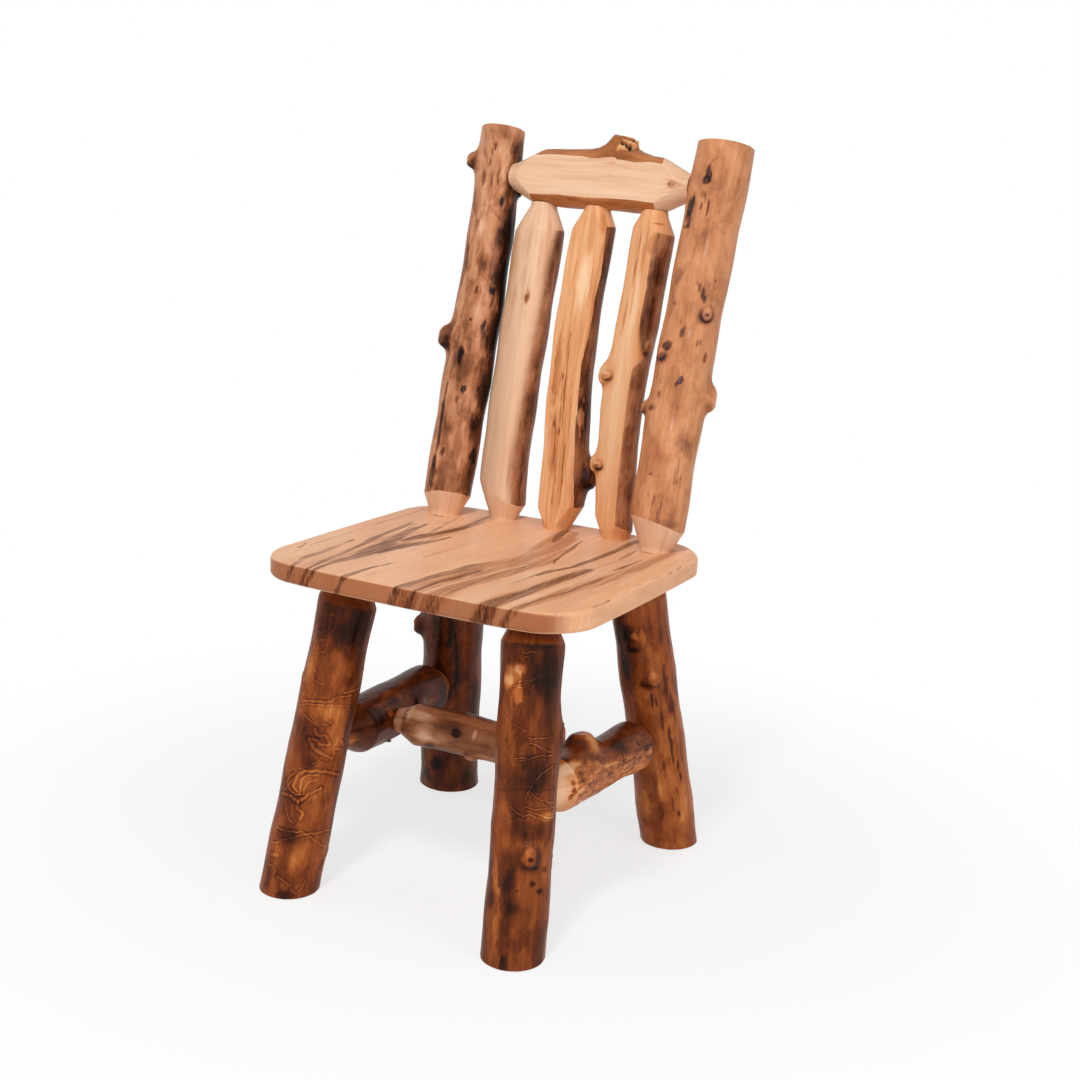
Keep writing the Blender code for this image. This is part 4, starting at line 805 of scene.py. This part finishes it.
# In the legs' marks, the broad dark rows high on the legs are painted shade under the seat: 385 mm
# on the front left, 372, 397 and 418 mm on the front right, and 350 mm on the rear right.
LEGS = (
    ("front_leg_left", -1, FRONT_FOOT, FRONT_TOP, 0.0405,
     "0 1.01 -.04 0, .2 1 -.02 .02, .45 .98 0 0, .7 .97 .05 -.02, 1 .97 .05 0",
     "315 150 10 3 .15", table(LEFT_LEG_TRACKS)
     + beetle_tracks(seed=11, count=26, sides=(60, 130), heights=(40, 380))
     + beetle_tracks(seed=12, count=14, sides=(-45, 45), heights=(10, 310)), """
     385 -55 40 60 .28, 346 -17 57.5 19 .2, 356 -48 26.5 11.5 .1, 357 -97 24.5 13.5 .1,
     311 -112 18 8.5 -.2, 316 -53 20 13.5 -.06, 298 -24 11 11.5 .15, 256 -45 13.5 21 -.26,
     227 -26 27 14 -.24, 232 7 38.5 11 .22, 215 -99 24.5 17 .1, 184 -70 11 13.5 .14,
     153 -61 20.5 25 -.14, 130 -31 25 13 -.12, 124 25 50.5 15.5 .18, 81 -83 11.5 19.5 .26,
     56 -53 25 16 -.22, 45 -15 32 10 -.05, 6 -64 9 14 .3, 58 -95 9 8 -.1, 23 -103 18.5 6 .15,
     300 110 60 20 .15, 150 160 60 22 -.15, 90 100 40 16 .2""", 0.50, 0.32,
     "stretcher_screw_front_left"),
    ("front_leg_right", 1, FRONT_FOOT, FRONT_TOP, 0.0405,
     "0 1.03 .05 0, .2 1 .08 .02, .45 .99 .1 0, .62 1.02 .09 0, .75 .98 .03 0, 1 1 0 0",
     "134 -49 11 6.5 .26, 281 30 13 4 .2", table(RIGHT_LEG_TRACKS)
     + beetle_tracks(seed=23, count=22, sides=(60, 130), heights=(60, 380)), """
     361 -98 13.5 13.5 -.4, 350 -110 9 8.5 -.42, 335 -85 13.5 5.5 -.34, 368 -84 6.5 7 -.35,
     342 -36 59.5 24.5 .1, 397 -55 4.5 31 .18, 372 -40 45 60 .1, 289 -108 44.5 9.5 -.05,
     238 -45 26.5 23 .25, 192 -102 15.5 11.5 -.1, 185 -13 6.5 17 -.3, 167 -55 15.5 22.5 .22,
     141 -111 36 17.5 -.16, 129 -9 36 15 -.15, 107 -77 16 9.5 .2, 82 -83 20.5 5 .12,
     70 -69 9 9 .15, 110 -110 20.5 6 -.2, 49 -97 29.5 5.5 -.18, 76 -120 13.5 6.5 .18,
     38 -78 34 4.5 .06, 7 -78 11.5 6 .3, 345 -22 70 17 .12, 220 -70 45 22 .08, 148 -52 9 7 -.1,
     133 -46 3.5 3.5 .4, 418 -62 14 70 .3, 140 -30 7 4 .12, 122 -33 2.5 4.5 .3, 102 -38 3 5 .3,
     92 -22 3 6 .3, 118 -12 3 5 .25, 93 -65 2.5 2.5 .2, 260 100 70 24 .15, 120 140 60 20 -.12""",
     0.58, 0.20, "stretcher_screw_front_right"),
    # The rear left leg's tone of 0.64, darker than the other legs', is partly painted shade.
    ("rear_leg_left", -1, REAR_FOOT, REAR_TOP, 0.0415,
     "0 1.14 -.02 0, .12 1.1 -.02 0, .35 1.1 0 .02, .65 1.1 .02 0, 1 1.09 .02 0",
     "289 -146 11 14 .2, 133 60 9 4 .2", (), """
     306 -99 22 7 .2, 312 -64 27.5 4 .3, 241 -52 45 3.5 .25, 277 -85 55.5 4 .15,
     290 -19 42 7.5 -.05, 279 -39 42 4 -.1, 236 -112 42.5 5 .1, 195 -65 17 3 .2,
     184 -9 34.5 6 .2, 61 -87 14.5 6.5 .35, 58 -57 26.5 6 -.08, 31 -103 14.5 5.5 .2,
     33 -18 23.5 16.5 .15, 40 -43 17.5 4.5 -.05, 320 120 60 20 -.15, 140 90 70 18 -.12""", 0.64,
     0.40, "stretcher_screw_rear_left"),
    ("rear_leg_right", 1, REAR_FOOT, REAR_TOP, 0.0415,
     "0 1.03 0 0, .3 1 .03 .02, .6 .98 .05 -.02, 1 .95 .06 0", "287 -52 10 6.5 .14", (), """
     330 -109 86 19 .35, 350 -60 60 60 .08, 378 -33 36 7.5 -.12, 358 -91 15.5 12 .35,
     357 -79 5 5 -.35, 354 -63 10.5 5 -.25, 335 -87 5 11.5 .35, 304 -109 15.5 7.5 .25,
     299 -52 8 10.5 -.06, 277 -66 8 7 .15, 281 -77 5 4 .2, 250 -60 13 1 .4, 252 -52 12 1 .4,
     258 -26 31.5 4.5 .25, 237 -15 21.5 4.5 .25, 258 9 16 6 .25, 167 -32 21.5 2.5 .35,
     194 -34 13.5 2.5 .3, 221 -46 16 3 .2, 144 -54 11 1 .35, 139 -21 8 1.5 .35,
     142 -5 5.5 1.5 .35, 120 -20 8 1.5 .35, 102 -33 5.5 1 .3, 62 -34 5.5 2.5 .35,
     84 -45 11 1 .25, 109 -67 27 3.5 -.15, 85 -98 27.5 4.5 -.1, 67 -21 33 7.5 -.12,
     54 -99 16.5 7 .15, 75 -69 16.5 3.5 .1, 300 100 70 20 .2, 130 140 60 14 .2, 220 60 50 6 .2""",
     0.39, 0.30, "stretcher_screw_rear_right"),
)
for name, hand, foot_at, top_at, thick, rows, knots, tracks, marks, tone, blotch, screw in LEGS:
    leg = make_log(name, (hand * foot_at[0], foot_at[1], 0),
                   (hand * top_at[0], top_at[1], LEG_TOP_Z), (1, 0, 0), thick, rows, tone,
                   pitch=FINE_PITCH if tracks else LOG_PITCH,
                   head=(LEG_NECK, -SINK), knots=knots, marks=marks, tracks=tracks,
                   screws=(screw,), floor=True)
    finish_log(leg, "dark_aspen", DARK_SKIN, SHADED_TAN_WOOD, fibre=0.19, blotch=blotch, patchy=0.12)


# Stretchers. Two side poles between the legs and one across between them, each with its ends run
# through the tenon cutter. Dark, lacquered and knotty, with some pale wood at the joints.
STRETCHER_NECK, CROSS_NECK = 0.0175, 0.0145
BROWN_SKIN = table(
    "0 238 194 160, .2 212 154 116, .4 178 116 79, .6 122 72 46, .8 62 31 19, 1 26 12 8")
CREAM_WOOD = table("0 244 212 184, .3 233 190 156, .5 212 158 120, .75 138 84 54, 1 56 30 19")
ORANGE_WOOD = table("0 248 206 164, .3 230 166 116, .5 202 130 80, .75 126 70 38, 1 46 23 12")
TORN_WOOD = table("0 250 202 162, .25 232 166 116, .5 196 112 56, .75 128 64 26, 1 44 20 8")
TORN_BARK = """
    0 34, 65 34, 69 46, 76 58, 100 54, 120 48, 134 51, 149 62, 167 69, 191 75, 212 81, 224 76,
    258 80, 283 82, 292 76, 296 120, 300 250, 380 250"""
STRETCHERS = (
    ("side_stretcher_left", (-0.1562, -0.2071, 0.2036), (-0.1709, 0.1605, 0.1902), 0.0395,
     "0 1 -.05 0, .35 1 -.12 0, .65 .98 -.05 .02, 1 1.02 -.05 0", (STRETCHER_NECK, 0.038),
     (STRETCHER_NECK, 0.039), (0.45, 1), "202 75 9 3 .2",
     table(".6 .3 -29 109 -27 124 -27 143, .6 .35 -14 204 -2 205 7 213, .6 .3 -28 199 -18 194"),
     """
     126 66 7 6 -.3, 121 45 14 10 -.15, 105 42 9.5 6 -.12, 163 43 9.5 5 -.2, 214 44 9.5 5 -.12,
     148 24 14.5 9 -.1, 82 57 7 14 .1, 98 70 7 9.5 .2, 46 112 13 22 -.5, 60 60 14 20 .1,
     180 -90 80 20 -.15""", 0.70, "dark_aspen", "cross_screw_left", SHADED_TAN_WOOD),
    ("side_stretcher_right", (0.1567, -0.2084, 0.1961), (0.1730, 0.1648, 0.1706), 0.0365,
     "0 1.05 0 0, .3 1.02 -.04 0, .55 .92 -.02 .03, .8 .99 .03 0, 1 1 0 0",
     (STRETCHER_NECK, 0.038), (STRETCHER_NECK, 0.039), (1, 0), "150 -8 19 17 .08", table("""
     .8 .6 -18 217 -8 214 2 214 13 213, .7 .6 -36 233 -27 242 -17 245 -6 247 3 252,
     .9 .7 -49 302 -28 296 -13 294 2 294, .6 .4 -12 258 -11 270 -5 272 -2 261 -6 255,
     1.2 -.7 9 73 6 94 4 113 0 131, 1.2 -.7 18 70 15 87 12 106 21 112 28 108 25 82,
     1.2 -.7 8 89 18 107 35 129 53 134 32 91, 1 -.6 4 124 16 123 29 125,
     1 -.6 9 145 18 148 28 146, 1 -.6 13 161 23 183 23 200 23 217,
     1 -.6 26 176 49 224 32 231 29 245, 1 .6 11 121 24 125, 1 .6 18 145 25 145,
     1 -.6 23 225 23 251 26 269""")
     + beetle_tracks(seed=37, count=16, sides=(10, 60), heights=(80, 280)), """
     82 38 24 9 -.5, 79 20 9 8 .2, 52 85 18 60 -.28, 73 88 3 6 .4, 70 106 3 4 .4,
     72 72 2.5 4 .35, 154 18 17 19 -.45, 150 -30 10 16 .2, 188 60 24.5 10 -.12,
     221 35 30 16.5 .1, 260 53 2.5 5 .3, 225 78 60 5 .16, 180 30 60 16 .06, 200 -20 90 20 .15,
     270 20 40 20 .12""", 0.50, "dark_aspen", "cross_screw_right", TORN_WOOD),
    # In the cross stretcher's marks, the pale rows on the top of its left end, 46 mm at 60 degrees
    # and 82 mm at 42 degrees, are partly pale wood and partly a painted highlight.
    ("cross_stretcher", (-0.1618, -0.0655, 0.1984), (0.1647, -0.0255, 0.1836), 0.029,
     "0 1.02 -.14 0, .4 1 .05 .02, .7 .97 -.03 0, 1 .98 0 0", (CROSS_NECK, 0.037),
     (CROSS_NECK, 0.034), (0, 1), "159 135 7 6 .1",
     table(".6 .4 -20 132 -28 145 -29 159 -27 185"), """
     62 38 5 14 -.35, 90 92 15.5 15.5 -.25, 120 86 15.5 17 -.12, 138 69 6.5 8 .3,
     165 62 3 9 -.35, 185 63 10 23 .05, 141 156 41.5 11.5 .3, 129 -6 52 8 .25,
     98 140 10.5 14.5 .3, 46 60 8 60 -.38, 75 20 25 14 -.12, 82 42 26 9 -.4, 95 104 22 9 -.25,
     128 62 26 12 .16""", 0.49, "brown_aspen", None, ORANGE_WOOD),
)
for (name, start, end, thick, rows, foot, head, bare_ends, knots, tracks, marks, tone, slot, screw,
     wood) in STRETCHERS:
    rough = name != "cross_stretcher"
    rail = make_log(name, start, end, (0, 0, 1), thick, rows, tone,
                    mottle=0.18 if rough else 0.08, foot=foot, head=head, bare_ends=bare_ends,
                    knots=knots, marks=marks, tracks=tracks, screws=(screw,) if screw else (),
                    torn=TORN_BARK if name == "side_stretcher_right" else "")
    finish_log(rail, slot, DARK_SKIN if rough else BROWN_SKIN, wood, fibre=0.24,
               blotch=0.30 if rough else 0.16, patchy=0.12 if rough else 0.05)


# Back posts. Two leaning poles, sawn off square at the top, whose lower cones stand in the seat.
# The left one is brown with a nearly black rear, and the right one is pale, pink and knotty.
POST_NECK = 0.019
POST_BASE = (0.172, 0.1195, 0.4548)
POST_AXIS = Vector((0.008, 0.2319, 1.0))
PINK_SKIN = table(
    "0 238 190 150, .2 218 152 108, .4 192 126 84, .6 146 90 64, .8 100 58 48, 1 56 32 30")
POSTS = (
    # In the left post's marks, the pale row near the top, 505 mm at -75 degrees, is a painted
    # sheen.
    ("back_post_left", -1, 0.5599, 0.0355,
     "0 1 .02 0, .15 1.02 .04 .02, .45 1.02 .16 0, .75 .95 .22 -.02, .92 .95 .1 0, 1 .94 .07 0",
     BROWN_SKIN, "258 -140 12.5 17 .3, 520 -146 9 14 .35, 486 24 7 6 .2", """
     556 -69 18.5 28.5 .15, 534 -80 8 1.5 .3, 540 -74 6 1.5 .3, 541 -33 9.5 3.5 .2,
     544 -18 8 4.5 .15, 534 -22 6 3.5 .12, 518 -83 6 1.5 .25, 495 -98 12.5 4 .35,
     491 -74 9.5 1.5 .25, 496 -59 9.5 1.5 .2, 465 -44 7.5 3 .5, 445 -22 21.5 14 .15,
     416 -33 18.5 14 .15, 373 -69 15.5 14 .15, 399 -87 18.5 5 .1, 445 -86 40 7 -.15,
     353 -53 18.5 9.5 -.1, 333 -36 5 4.5 .4, 320 -32 7 3.5 .12, 333 -72 4.5 1.5 .3,
     288 -75 2.5 2 .35, 284 -40 4.5 2.5 .3, 277 -44 5 3 .15, 297 -64 24.5 12.5 -.08,
     232 -86 11.5 3 .5, 186 -63 4.5 4.5 .45, 190 -29 4.5 2 .4, 170 -74 6 2 .2, 261 -28 9 3.5 .2,
     107 -56 27.5 9 .15, 122 -97 24.5 9.5 -.08, 92 -90 9 3.5 .25, 93 -13 9 6.5 .25,
     84 -3 4.5 6 .25, 368 -121 37 6 .25, 137 -109 61.5 3.5 .35, 60 -108 24.5 6 .4,
     272 -123 37 5 .2, 540 -2 30 20 .36, 492 -3 42 25 .5, 423 -3 46 26 .58, 350 -3 46 26 .6,
     271 -4 46 26 .58, 199 -5 45 25 .54, 132 -5 40 23 .44, 65 -3 40 21 .42, 300 60 250 26 .3,
     235 -75 60 20 .12, 140 -85 40 20 .12, 380 150 70 14 .15, 150 140 70 20 .2,
     505 -75 60 26 -.16""", 0.38, 0.17, 0.20),
    ("back_post_right", 1, 0.5523, 0.0390, """
     0 1 -.05 0, .2 1.02 -.12 0, .4 1.03 -.12 .02, .62 1.02 -.05 0, .82 1.04 .03 0, 1 1.04 .09 0""",
     PINK_SKIN, "330 -42 8 4 .6, 271 -120 8 3 .35, 218 18 14 13 .14, 194 -154 7 8 .35", """
     330 -42 2.5 2 .4, 521 -93 7 3.5 .45, 510 -94 7 4.5 .45, 513 -86 6 2.5 .3, 490 -95 6 3.5 .2,
     475 -93 5.5 2 .4, 473 -80 12.5 2 .4, 483 -88 7.5 1.5 .3, 472 -117 14 6.5 .45,
     457 -120 9.5 7 .35, 446 -123 3.5 9 .4, 481 -114 9.5 3 .3, 432 -63 27.5 18.5 .12,
     427 -86 18.5 13.5 .08, 378 -35 1.5 1.5 .3, 365 -66 6.5 2.5 .35, 357 -57 9 3 .35,
     351 -51 6 2 .3, 370 -72 3 2.5 .2, 301 -83 8.5 4.5 .35, 290 -50 6 1 .3, 293 -44 4.5 1 .3,
     274 -26 7.5 3 .35, 282 -111 7.5 7.5 .5, 266 -115 9 7 .3, 236 -69 6.5 3 .45,
     215 -109 5.5 2.5 .35, 340 -112 3 5.5 .15, 380 -118 9.5 6.5 .2, 317 -89 4.5 1.5 .25,
     195 -124 5 9 .4, 158 -31 15.5 21.5 .12, 145 -35 15.5 17 .08, 199 -70 36.5 9 .07,
     119 -43 12 1.5 .2, 110 -48 12 1.5 .2, 105 -34 6 1 .2, 105 -97 2 2.5 .3, 72 -82 9 1.5 .25,
     63 -85 9 1 .2, 55 -70 9 1 .3, 65 -67 9 1 .25, 77 -95 6 1.5 .2, 56 -116 12 3 .15,
     42 -49 6 25 .1, 400 90 60 20 .12, 250 120 12 3 .4, 480 60 14 4 .35, 120 80 60 20 .12""",
     0.35, 0.18, 0.12),
)
for name, hand, rise, thick, rows, skin, knots, marks, tone, fibre, patchy in POSTS:
    base = Vector((hand * POST_BASE[0], POST_BASE[1], POST_BASE[2]))
    top = base + Vector((hand * POST_AXIS.x, POST_AXIS.y, POST_AXIS.z)) * rise
    post = make_log(name, base, top, (1, 0, 0), thick, rows, tone, mottle=0.10,
                    foot=(POST_NECK, -SINK), knots=knots, marks=marks,
                    screws=("crest_screw_" + name.split("_")[-1],))
    finish_log(post, "brown_aspen", skin, CREAM_WOOD, fibre=fibre, blotch=0.44, patchy=patchy)


# Crest rail. A short, thick pole between the posts whose front is planed flat from cone to cone.
# It keeps its skin above and below the flat, and a broken, hollow branch stub stands on its top.
CREST_ENDS = ((-0.17594, 0.2337, 0.9473), (0.17594, 0.2337, 0.9473))
CREST_UP = (0, 0.2259, 0.9741)
STUB_SHARE, STUB_HEIGHT, STUB_RADIUS, STUB_BREADTH = 0.575, 0.0295, 0.040, 0.68
STUB_SIDE = np.array(table("0 1, .34 1, .4 .93, .47 .76, .6 .46, .8 .22, 1.1 .07, 1.6 0")).T
STUB_SPLITS = table(".08 .07 .36, .36 .085 .26")
RIDGE, UNDER_DIP = 0.0035, 0.0042


def raise_stub(x, y, z, theta, change, length, radius):
    """Swell the pole into a branch stub, broken off on its right, where it is split and hollow."""
    run = (z - STUB_SHARE * length) / STUB_RADIUS
    arc = radius * np.arctan2(np.sin(theta), np.cos(theta)) / (STUB_RADIUS * STUB_BREADTH)
    gap = np.hypot(run * np.where(run < 0, 0.9, 0.68), arc * np.where(arc > 0, 0.62, 1.0))
    gap += 0.22 * blend_step(0.31, 0.40, gap) * blend_step(-0.02, 0.10, run)
    broken = blend_step(0.58, 0.46, gap) * blend_step(-0.10, -0.02, run)
    broken *= blend_step(-0.22, -0.12, arc)
    tilt = 0.95 * np.clip(arc, 0, 0.5) * blend_step(-0.4, 0.0, run)
    tilt = (0.30 * np.clip(run, 0, 0.5) + tilt) * blend_step(0.9, 0.5, gap)
    lift = np.interp(gap, *STUB_SIDE) * (1 - tilt)
    split = np.zeros(len(z))
    for middle, wide, deep in STUB_SPLITS:
        slot = np.abs(arc - middle - 0.06 * run - 0.02 * np.sin(run * 37)) / wide
        slot = blend_step(1.35, 0.75, slot) * blend_step(0.30, 0.22, np.abs(run - 0.20))
        split = np.maximum(split, deep * slot)
    lift = lift - split * broken
    # The splits in the broken face are darkened as painted shade in their hollows, and the rest of
    # the broken face is paler bare wood.
    change = change + 2.4 * split * broken - 0.40 * broken * blend_step(0.10, 0.0, split)
    change += 0.10 * blend_step(1.5, 0.5, gap) * (1 - broken)
    along = z / length
    ridge = blend_step(0.75, 0.20, np.abs(theta)) * blend_step(0.12, 0.22, along)
    ridge *= RIDGE * blend_step(0.60, 0.42, along)
    under = bell(np.degrees(theta) - 50, 17) * blend_step(-1.5, -0.4, run)
    under *= blend_step(1.5, 0.7, run)
    return x + ridge + lift * STUB_HEIGHT, y - UNDER_DIP * under, change


CREST_SKIN = table("0 228 172 124, .3 194 122 72, .6 146 84 46, 1 34 17 10")
crest = make_log("crest_rail", CREST_ENDS[0], CREST_ENDS[1], CREST_UP, 0.0375,
                 "0 .98 0 0, .3 1.03 .02 0, .6 1.02 0 0, 1 .98 -.02 0", 0.42, pitch=FINE_PITCH,
                 foot=(0.0175, 0.033), head=(0.0175, 0.0365), flats="90 11.5 1.2",
                 knots="297 92 5 .1 .22", marks="""
                 296 92 11 9 .2, 297 92 3 2.5 .2, 131 93 54.5 2.5 .06, 204 62 21.5 2 .08,
                 148 144 14.5 3 .2, 110 20 50 16 .08, 250 10 40 10 .1""", stub=raise_stub,
                 screws=("spindle_screw_left", "spindle_screw_centre", "spindle_screw_right"))
finish_log(crest, "pale_aspen", CREST_SKIN, CREAM_WOOD, fibre=0.25, blotch=0.25)


# Back spindles. Three thinner poles from the seat up into the crest rail. The front of each is
# dressed and sanded down to bare wood, and the dark skin is left on its right-hand side.
SPINDLE_FOOT, SPINDLE_HEAD = (0.0165, -SINK), (0.0165, 0.035)
SPINDLE_BASE_Y, SPINDLE_BASE_Z = 0.1505, 0.4548
SPINDLES = (
    # In the left spindle's marks, the rows down its left edge, at bearings from -111 to -150
    # degrees, are painted shade.
    ("back_spindle_left", -0.0883, -0.088, 0.0360,
     "0 .93 -.03 0, .12 .97 -.25 0, .3 1 -.27 0, .6 1 -.16 0, 1 1 .02 0", CREAM_WOOD,
     "-112 5.8 9", "", (),
     "0 -44, 27 -42, 62 -47, 111 -46, 157 -43, 220 -39, 288 -36, 347 -32, 400 -26, 440 -16", """
     400 -94 30 9.5 .1, 357 -92 16 8 .08, 388 -16 40.5 9.5 .15, 415 -14 16.5 8 .1,
     326 -69 12 4.2 .2, 326 -69 6.5 6 .22, 326 -69 2.5 1.5 .15, 370 -128 60 12 .12,
     290 -122 40 8 .08, 380 -150 60 14 .2, 250 -150 60 7 .12, 395 -40 45 8 .12,
     345 -70 13.5 .5 .2, 300 -67 16 .5 .2, 330 -111 16.5 4 .1, 70 -50 40.5 1 .15,
     150 -10 120 8 .15""", 0.46, 22, 0.34),
    ("back_spindle_centre", 0.0010, -0.0011, 0.0322,
     "0 1.04 .08 0, .15 1.05 .04 0, .4 1 -.23 0, .65 .97 -.26 0, 1 .98 .06 0", ORANGE_WOOD,
     "-97 12.9 1.6", "82 14 16 15 .3", table(".6 .5 13 228 34 228, .6 .5 11 202 20 201"),
     "0 -34, 36 -29, 89 -45, 144 -44, 189 -41, 237 -41, 283 -28, 333 -27, 368 -17, 424 -30", """
     217 -91 53 1 .35, 172 -99 40 1 .3, 166 -68 42.5 .5 .25, 132 -110 40 1 .3, 81 -81 39.5 1 .3,
     63 -103 32 1 .3, 275 -95 21.5 .5 .2, 365 -108 26.5 1 .2, 361 -76 45 12.5 -.3,
     439 -41 16 11.5 .15, 163 -30 18.5 6 -.35, 370 -5 70 14 .08, 190 -15 60 10 .15,
     230 -120 60 7 .2, 120 -112 60 9 .2, 190 -95 120 20 .07""", 0.60, 4, 0.75),
    ("back_spindle_right", 0.0946, 0.088, 0.0298,
     "0 .95 -.1 0, .14 .97 -.29 0, .37 1.02 -.5 0, .62 1.02 -.18 0, 1 1.03 .16 0", ORANGE_WOOD,
     "-110 7.7 4", """
     274 -24 9 6.5 .3, 230 -156 12 19 .26, 102 -156 10 17 .3, 229 -137 5 .7 .35,
     101 -137 4.5 .7 .55""", (), """
     0 -62, 41 -63, 93 -65, 145 -67, 198 -58, 240 -58, 258 -27, 276 -50, 312 -66, 366 -70,
     430 -60""", """
     417 -114 21 1.5 .3, 396 -96 23.5 1 .3, 378 -114 21 1.5 .3, 337 -105 18.5 1 .3,
     315 -125 21 2 .3, 445 -55 1.5 13 .3, 308 -42 34 13 .3, 390 -40 40 12 .15,
     382 -32 52.5 13.5 .1, 418 -66 15.5 8 .15, 200 -25 52.5 11.5 .1, 134 -39 39 8.5 .15,
     69 -27 26 16 .1, 400 -88 40 1.5 .2, 330 -98 60 10 -.14, 200 -105 150 22 -.15,
     229 -140 2 2 .3, 101 -139 2 2 .4""", 0.41, 14, 0.36),
)
for (name, base_x, top_x, thick, rows, wood, flats, knots, tracks, dressed, marks, tone, frayed,
     figure) in SPINDLES:
    spindle = make_log(name, (base_x, SPINDLE_BASE_Y, SPINDLE_BASE_Z), (top_x, *CREST_ENDS[0][1:]),
                       (1, 0, 0), thick, rows, tone, relief=0.8, foot=SPINDLE_FOOT,
                       head=SPINDLE_HEAD, flats=flats, dressed=dressed, frayed=frayed,
                       knots=knots, marks=marks, tracks=tracks)
    finish_log(spindle, "pale_aspen", BROWN_SKIN, wood, fibre=0.30, blotch=0.30, patchy=0.12,
               figure=figure, soft=frayed / 45)


# Screws. Zinc-plated wood screws that hold the tenons in their sockets, driven from below and
# behind, with the heads just under the wood's surface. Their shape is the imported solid's own.
def screw_finish():
    """Dull zinc plating with fine scratches."""
    finish, tree, shader = new_finish("zinc_plate", coat=0, specular=0.5)
    dull = noise(tree, object_place(tree), 900)
    colour = ramp(tree, dull, table(".3 150 146 138, .7 188 184 174"))
    dress(tree, shader, colour, roughness=0.38)
    shader.inputs["Metallic"].default_value = 1
    return finish


zinc = screw_finish()
for name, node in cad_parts.items():
    if "screw" in name:
        node.data.materials.clear()
        node.data.materials.append(zinc)


# Floor, lamps and camera. A pale studio floor that fades into a white background, one large soft
# lamp from the front left above, weaker ones beside and in front, and the photograph's viewpoint.
FLOOR_RADIUS, SHADE_START, SHADE_END, FLOOR_GLOW, WORLD_LIGHT = 30, 0.35, 1.1, 0.70, 0.40
PHOTO_WIDTH, PHOTO_FOCUS, SENSOR = 1080, 1626, 36
EYE, TURN, PITCH, ROLL = (1.0439, -1.9004, 0.9949), 27.53, 13.64, 3.12
LAMPS = (
    ("key_lamp", 52, 0.45, (0.35, -2.0, 3.3), (0, 0, 0.45)),
    ("front_lamp", 6, 0.12, (1.15, -2.3, 1.45), (0, 0, 0.3)),
    ("left_lamp", 8, 1.6, (-2.6, -1.0, 1.8), (0, 0, 0.5)),
    ("right_lamp", 18, 1.6, (2.6, -0.8, 1.6), (0, 0, 0.5)))


def seen_directly(tree):
    """1 for what the camera, a mirror or a pane shows, and 0 for what only gets light."""
    path = add_node(tree, "ShaderNodeLightPath").outputs
    other = math_node(tree, "MAXIMUM", path["Is Glossy Ray"], path["Is Transmission Ray"])
    return math_node(tree, "MAXIMUM", path["Is Camera Ray"], other)


def build_studio():
    """The floor, the light and the camera."""
    scene = bpy.context.scene
    bpy.ops.object.select_all(action="DESELECT")
    bpy.ops.mesh.primitive_circle_add(vertices=96, radius=FLOOR_RADIUS, fill_type="NGON")
    floor = bpy.context.object
    floor.name = "studio_floor"
    finish, tree, shader = new_finish("studio_floor", coat=0, specular=0)
    shader.inputs["Base Color"].default_value = (0.96, 0.96, 0.96, 1)
    shader.inputs["Roughness"].default_value = 0.9
    distance = add_node(tree, "ShaderNodeVectorMath", {"operation": "LENGTH"},
                        i0=object_place(tree)).outputs["Value"]
    white = fade(tree, distance, SHADE_START, SHADE_END, FLOOR_GLOW, 1.0)
    glow = add_node(tree, "ShaderNodeEmission", Color=(1, 1, 1, 1), Strength=1.0)
    mixed = add_node(tree, "ShaderNodeMixShader", i1=shader.outputs[0], i2=glow.outputs[0],
                     i0=math_node(tree, "MULTIPLY", white, seen_directly(tree)))
    tree.links.new(mixed.outputs[0], tree.nodes["Material Output"].inputs["Surface"])
    floor.data.materials.append(finish)
    world = bpy.data.worlds.new("studio")
    scene.world = world
    world.use_nodes = True
    tree = world.node_tree
    back = tree.nodes["Background"].inputs
    back["Color"].default_value = (1, 1, 1, 1)
    strength = fade(tree, seen_directly(tree), 0.0, 1.0, WORLD_LIGHT, 1.0, "LINEAR")
    tree.links.new(strength, back["Strength"])
    for name, power, size, place, aim in LAMPS:
        lamp = bpy.data.lights.new(name, "AREA")
        lamp.energy, lamp.size = power, size
        holder = bpy.data.objects.new(name, lamp)
        scene.collection.objects.link(holder)
        holder.location = place
        away = Vector(aim) - Vector(place)
        holder.rotation_euler = away.to_track_quat("-Z", "Y").to_euler()
    camera = bpy.data.objects.new("photo_camera", bpy.data.cameras.new("photo_camera"))
    scene.collection.objects.link(camera)
    camera.data.lens, camera.data.sensor_width = PHOTO_FOCUS / PHOTO_WIDTH * SENSOR, SENSOR
    turn = Matrix.Rotation(math.radians(TURN), 4, "Z")
    turn = turn @ Matrix.Rotation(math.pi / 2 - math.radians(PITCH), 4, "X")
    turn = turn @ Matrix.Rotation(math.radians(ROLL), 4, "Z")
    camera.matrix_world = Matrix.Translation(EYE) @ turn
    scene.camera = camera
    scene.view_settings.view_transform = "Standard"


build_studio()
